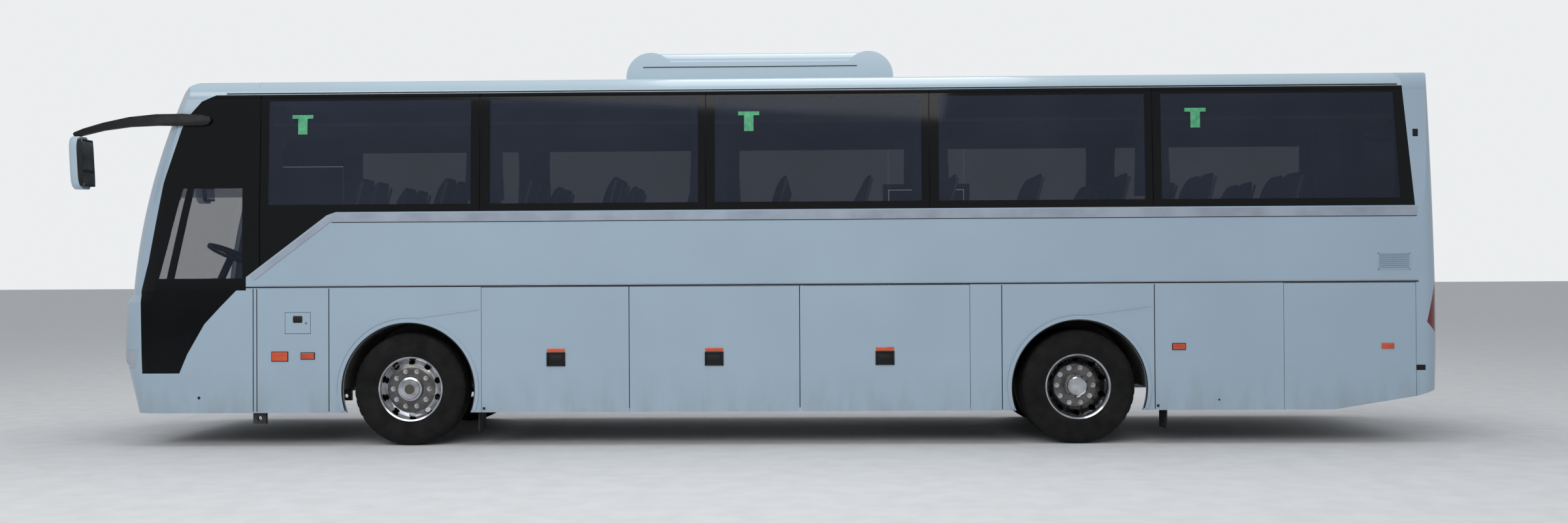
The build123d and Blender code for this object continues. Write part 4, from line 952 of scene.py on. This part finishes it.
print("stage: green plates on three panes")
plates = {"starts": [-4.236, -0.105, 3.973], "top": 3.060, "wide": 0.193, "stem": (0.054, 0.140),
          "foot": 2.880, "bar": 0.034}
greenPlate = plainFinish("greenPlate", (86, 176, 128), (60, 140, 98), 0.6, grain=200, bump=0.05, scale=20)
for index, start in enumerate(plates["starts"]):
    plate = Maker("pane_plate_" + str(index + 1))
    stemTop = plates["top"] - plates["bar"]
    bar = ((0.0, plates["wide"]), stemTop, plates["top"])
    for run, z0, z1 in (bar, (plates["stem"], plates["foot"], stemTop)):
        plate.ribbon([(start + x, (z0 + z1) / 2) for x in run], z1 - z0, -1, 0.0012, 0.001)
    plate.done(greenPlate, "dark_trim")

print("stage: louvres over the engine room")
louvres = {"count": 7, "x": (5.698, 5.988), "z": (1.573, 1.727), "slat": 0.013, "tilt": 38.0, "edge": 0.010,
           "lid": {"count": 18, "wide": 0.60, "pitch": 0.024, "slat": 0.012, "y": 0.43, "foot": 1.330}}


def slatTree(values):  # a row of tilted slats, one above another
    tree = Grown("slats", "Pitch", "Width", "Depth")
    step = tree.add("ShaderNodeCombineXYZ", Z=tree.given["Pitch"])
    line = tree.add("GeometryNodeMeshLine", Offset=step.outputs[0], Count=tree.given["Count"])
    size = tree.add("ShaderNodeCombineXYZ", X=tree.given["Width"], Y=tree.given["Depth"], Z=0.002)
    cube = tree.add("GeometryNodeMeshCube", Size=size.outputs[0])
    lean = (math.radians(values["tilt"]), 0, 0)
    tilted = tree.add("GeometryNodeTransform", Geometry=cube.outputs["Mesh"], Rotation=lean)
    return tree.repeat(line.outputs[0], tilted.outputs[0])


def slatPanel(name, count, width, pitch, depth, place, turn, finish, body):
    settings = {"Count": count, "Pitch": pitch, "Width": width, "Depth": depth, "Finish": finish}
    grow(name, slats, settings, Matrix.Translation(place) @ turned(turn, "Z"), body)


slats = slatTree(louvres)
for side, sideName in sides:
    x0, x1 = louvres["x"]
    z0, z1 = louvres["z"]
    edge = louvres["edge"]
    louvreFrame = Maker("louvre_frame_" + sideName)
    for x, z in (((x0, x1), (z0, z0 + edge)), ((x0, x1), (z1 - edge, z1)), ((x0, x0 + edge), (z0, z1)),
                 ((x1 - edge, x1), (z0, z1))):
        louvreFrame.sideBox(x, z, side, (sideY - 0.001, sideY + 0.004), 0.0015)
    louvreFrame.sideBox((x0, x1), (z0, z1), side, (sideY, sideY + 0.0008))
    louvreFrame.done(whitePaint, "body_paint")
    pitch = (z1 - z0 - 2 * edge) / louvres["count"]
    place = ((x0 + x1) / 2, side * (sideY + 0.004), z0 + edge + pitch / 2)
    slatPanel("louvres_" + sideName, louvres["count"], x1 - x0 - 0.024, pitch, louvres["slat"], place,
              0 if side > 0 else 180, whitePaint, "coach")

print("stage: small marks along the skirt")
marks = Maker("skirt_marks")
for x, z, radius in ((-5.100, 0.451, 0.014), (4.258, 0.402, 0.009)):
    y = -skinY(x, z, -1)
    marks.tube([(x, y + 0.003, z), (x, y - 0.0015, z)], radius, 24)
for x, z in ((-2.455, 0.345), (3.705, 0.350)):
    y = -skinY(x, z, -1)
    marks.box((x - 0.012, y - 0.004, z - 0.012), (x + 0.012, y + 0.002, z + 0.012), 0.002)
marks.done(rubber, "dark_plastic")

print("stage: mirrors")
mirrorShape = {"noseX": -6.283, "headZ": (2.384, 2.868), "headY": (1.178, 1.412), "armY": (1.225, 1.275),
               "rootY": (1.205, 1.232), "steps": 18, "slant": 0.026, "deep": 0.150}


def armOutline():  # the blade that carries a mirror head, thick at its root
    top = [(-4.997, 3.052), (-5.060, 3.066), (-5.250, 3.078), (-5.500, 3.076), (-5.750, 3.052),
           (-6.000, 3.000), (-6.180, 2.948), (-6.268, 2.918), (-6.283, 2.900)]
    foot = [(-6.262, 2.866), (-6.180, 2.888), (-6.000, 2.930), (-5.750, 2.962), (-5.500, 2.972),
            (-5.250, 2.968), (-5.080, 2.962), (-5.010, 2.978), (-4.985, 3.012)]
    return top + foot


for side, sideName in sides:
    y0, y1 = mirrorShape["headY"]
    z0, z1 = mirrorShape["headZ"]
    middle = side * (y0 + y1) / 2
    shell = Maker("mirror_shell_" + sideName)
    back = Maker("mirror_back_" + sideName)
    glassFace = Maker("mirror_glass_" + sideName)
    rings = []
    deep = []
    for step in range(mirrorShape["steps"] + 1):
        share = step / mirrorShape["steps"]
        z = z0 + (z1 - z0) * share
        pinch = (1 - abs(2 * share - 1) ** 5) ** 0.5 * 0.5 + 0.5
        half = (y1 - y0) / 2 * pinch
        nose = mirrorShape["noseX"] + mirrorShape["slant"] * (1 - share) + 0.030 * (1 - pinch)
        ring = []
        for turn in range(17):
            angle = math.radians(-90 + 11.25 * turn)
            x = nose + 0.100 * (1 - math.cos(angle) ** 0.6)
            ring.append((x, middle + side * half * math.sin(angle), z))
        ring += [(nose + 0.104, middle + end * side * half * 0.97, z) for end in (1, -1)]
        rings.append(ring)
        inner = side * half * 0.955
        tail = nose + mirrorShape["deep"]
        deep.append([(nose + 0.095, middle - inner, z), (tail, middle - inner * 0.97, z),
                     (tail, middle + inner * 0.97, z), (nose + 0.095, middle + inner, z)])
    shell.solid(rings)
    back.solid(deep[1:-1])
    back.plate(armOutline(), mirrorShape["armY"], side, 0.010)
    back.sideBox((-5.060, -4.999), (2.985, 3.050), side, mirrorShape["rootY"], 0.006)
    half = (y1 - y0) / 2 * 0.84
    for shares in ((0.36, 0.93), (0.07, 0.31)):
        rings = []
        for share in shares:
            tail = mirrorShape["noseX"] + mirrorShape["slant"] * (1 - share) + mirrorShape["deep"]
            rings.append([(tail + a, middle + b * half, z0 + (z1 - z0) * share)
                          for a, b in ((-0.002, -1), (0.003, -1), (0.003, 1), (-0.002, 1))])
        glassFace.solid(rings)
    # The mirror shells take the lighter copy of the body paint: painted light from above.
    shell.done(roofPaint, "body_paint", replaces=["mirrors"] if side < 0 else ())
    back.done(darkPlastic, "dark_plastic")
    glassFace.done(chrome, "clear_glass")

print("stage: linings over the wheels")
archCover = {"outer": 0.6105, "thick": 0.005, "edge": 1.226, "wall": (27.5, 152.5)}
for side, sideName in sides:
    cover = Maker("arch_covers_" + sideName)
    for axleX, inner in ((frontAxleX, 0.645), (rearAxleX, 0.592)):
        outside = arc(axleX, wheelZ, archCover["outer"], 0, 180, 36)
        inside = arc(axleX, wheelZ, archCover["outer"] - archCover["thick"], 180, 0, 36)
        cover.plate(outside + inside, (inner, archCover["edge"]), side)
        wall = arc(axleX, wheelZ, archCover["outer"], *archCover["wall"], 30)
        cover.plate(wall, (inner, inner - archCover["thick"]), side)
    cover.done(chassisBlack, "dark_plastic")

print("stage: front end")
front = {"wiperZ": 1.475, "plate": (0.26, 0.500, 0.612), "slatZ": 0.640, "slats": 4, "slatPitch": 0.020,
         "lampZ": 0.810, "lamps": ((0.98, 0.066), (0.82, 0.058))}


def onFront(y, z, lift):  # a point just off the front of the coach
    return Vector((skinX(y, z, -1) - lift, y, z))


def onRear(y, z, lift):  # the same at the rear
    return Vector((skinX(y, z, 1) + lift, y, z))


def spanFront(y0, y1, z0, z1, lift, count=12):
    return [onFront(y0 + (y1 - y0) * n / count, z0 + (z1 - z0) * n / count, lift) for n in range(count + 1)]


wipers = Maker("wipers")
for pivotY, outerY, innerY in ((-0.10, -0.98, -0.20), (0.86, -0.02, 0.80)):
    low = front["wiperZ"]
    wipers.tube(spanFront(outerY, innerY, low + 0.035, low + 0.075, 0.010), 0.006, 8)
    wipers.tube(spanFront(outerY + 0.05, innerY - 0.05, low + 0.037, low + 0.073, 0.022), 0.005, 8)
    middle = (outerY + innerY) / 2
    arm = [onFront(pivotY, low - 0.045, 0.006), onFront(pivotY, low - 0.045, 0.040),
           onFront((pivotY + middle) / 2, low + 0.010, 0.040), onFront(middle, low + 0.055, 0.028)]
    wipers.tube(arm, 0.009, 10)
    wipers.tube([onFront(pivotY, low - 0.045, -0.010), onFront(pivotY, low - 0.045, 0.048)], 0.018, 16)
wipers.done(rubber, "dark_plastic")

half, z0, z1 = front["plate"]
x = onFront(half, (z0 + z1) / 2, 0.0).x
plateHolder = Maker("number_plate_holders").box((x - 0.007, -half, z0), (x + 0.004, half, z1), 0.003)
plateHolder.done(darkPlastic, "dark_plastic")
plateWhite = plainFinish("plateWhite", (214, 214, 210), (196, 196, 192), 0.45, grain=240, bump=0.05, scale=10)
low = (x - 0.009, -half + 0.008, z0 + 0.008)
plateFace = Maker("number_plates").box(low, (x - 0.004, half - 0.008, z1 - 0.008), 0.0015)
plateFace.done(plateWhite, "dark_trim")
lidX = onRear(half, 1.10, 0.0).x
rearPlate = Maker("number_plate_rear").box((lidX - 0.010, -half, 1.045), (lidX + 0.004, half, 1.155), 0.002)
rearPlate.done(plateWhite, "dark_trim", "engine_lid")

lowGrille = Maker("front_lower_grille")
for row in range(front["slats"]):
    z = front["slatZ"] + row * front["slatPitch"]
    lowGrille.tube(spanFront(-0.62, 0.62, z, z, 0.0015, 20), 0.0065, 8)
lowGrille.done(rubber, "dark_trim")
frontLines = Maker("front_seams")
for half, z in ((1.10, 1.001), (1.00, 1.385)):
    frontLines.tube(spanFront(-half, half, z, z, -0.001, 24), 0.0035, 8)
frontLines.done(rubber, "dark_trim")


def faceOn(centre, radius, depth, turns):  # points on a circle that faces forward
    return [centre + Vector((-depth, radius * math.cos(turn), radius * math.sin(turn))) for turn in turns]


lampRims = Maker("headlamp_rings")
lampBulbs = Maker("headlamp_bowls")
for side in (-1, 1):
    for y, radius in front["lamps"]:
        centre = onFront(side * y, front["lampZ"], 0.0)
        lampRims.tube(faceOn(centre, radius, 0.002, circle(32, 1)), 0.004, 8)
        lampBulbs.solid([faceOn(centre, radius * share, depth, circle(32)) for share, depth in (
            (0.92, -0.001), (0.70, 0.0025), (0.40, 0.0045), (0.08, 0.0055))])
lampRims.done(chrome, "polished_rim")
lampBulbs.done(lampGlass, "lamp_lens")

print("stage: rear end")
lid = louvres["lid"]
lidX = onRear(lid["y"], 1.7, 0.0).x
for side, sideName in sides:
    slatPanel("lid_louvres_" + sideName, lid["count"], lid["wide"], lid["pitch"], lid["slat"],
              (lidX - 0.001, side * lid["y"], lid["foot"]), 90, blackGloss, "engine_lid")
lidTrim = Maker("lid_trim")
for side in (-1, 1):
    ys = sorted((side * 0.115, side * 0.745))
    for z0, z1 in ((1.300, 1.312), (1.755, 1.767)):
        lidTrim.box((lidX - 0.012, ys[0], z0), (lidX + 0.003, ys[1], z1), 0.002)
    for y in ys:
        lidTrim.box((lidX - 0.012, y - 0.006, 1.300), (lidX + 0.003, y + 0.006, 1.767), 0.002)
gripX = onRear(0, 1.22, 0).x
lidTrim.box((gripX - 0.006, -0.075, 1.200), (gripX + 0.006, 0.075, 1.235), 0.006)
lidTrim.done(rubber, "dark_trim", "engine_lid")
rearLamps = Maker("rear_small_lamps")
rearBlack = Maker("rear_small_housings")
for side in (-1, 1):
    for x, z, w, h in ((6.075, 0.688, 0.085, 0.050), (6.055, 2.818, 0.050, 0.070)):
        y = skinY(x, z, side)
        reach = (y - 0.010, y + 0.004)
        rearBlack.sideBox((x - w / 2, x + w / 2), (z - h / 2, z + h / 2), side, reach, 0.006, 3)
    rearLamps.tube([onRear(side * 1.02 + 0.045 * math.cos(turn), 2.95 + 0.030 * math.sin(turn), 0.0)
                    for turn in circle(24, 1)], 0.006, 8)
rearBlack.done(darkPlastic, "dark_plastic")
rearLamps.done(redLens, "red_lens")

print("stage: driver's place")
cab = {"wheel": (-5.055, -0.65, 1.785), "radius": 0.223, "tilt": 25.0, "grip": 0.015}
wheelTurn = Matrix.Translation(cab["wheel"]) @ turned(cab["tilt"], "Y")
steering = Maker("steering_wheel_grip")
rim = [cab["radius"] * Vector((math.cos(turn), math.sin(turn), 0.0)) for turn in circle(64, 1)]
steering.tube([wheelTurn @ point for point in rim], cab["grip"])
steering.tube([wheelTurn @ Vector((0, 0, -0.03)), wheelTurn @ Vector((0, 0, 0.022))], 0.055, 24)
steering.done(darkPlastic, "dark_plastic")
driverPad = Maker("driver_seat_pads")
seatShape(driverPad, -5.110, -0.890, -0.410, 1.0)
driverSoft = driverPad.done(seatCloth, "seat_fabric", replaces=["driver_seat"])
driverBase = Maker("driver_seat_base")
driverBase.box((-5.040, -0.800, 1.001), (-4.800, -0.500, 1.100), 0.010)
driverBase.tube([(-4.920, -0.650, 1.100), (-4.920, -0.650, 1.340)], 0.060, 24)
driverBase.box((-5.090, -0.870, 1.335), (-4.680, -0.430, 1.368), 0.010)
driverBase.done(darkPlastic, "dark_plastic")

print("stage: air springs and dampers")
spring = {"radius": 0.115, "folds": 4, "low": 0.42, "tall": 0.21, "y": 0.36, "offset": 0.30}
damper = {"offset": 0.16, "rod": ((0.0, 0.60, 0.42), (0.05, 0.56, 0.80), 0.032),
          "sleeve": ((0.05, 0.56, 0.78), (0.075, 0.54, 0.95), 0.045)}
bags = Maker("air_springs")
dampers = Maker("dampers")
for side in (-1, 1):
    for end in (-1, 1):
        centre = Vector((rearAxleX + end * spring["offset"], side * spring["y"], spring["low"]))
        rings = []
        for step in range(17):
            share = step / 16
            fold = math.sin(2 * spring["folds"] * math.pi * share)
            radius = spring["radius"] * (0.86 + 0.14 * math.sin(math.pi * share) + 0.03 * fold)
            lift = Vector((0, 0, spring["tall"] * share))
            rings.append([centre + lift + radius * Vector((math.cos(turn), math.sin(turn), 0))
                          for turn in circle(28)])
        bags.solid(rings)
    for axleX in (frontAxleX, rearAxleX):
        start = axleX + damper["offset"]
        for low, high, radius in (damper["rod"], damper["sleeve"]):
            dampers.tube([(start + x, side * y, z) for x, y, z in (low, high)], radius, 16)
bags.done(rubber, "rubber_flap")
dampers.done(castMetal, "cast_metal")

print("stage: done")
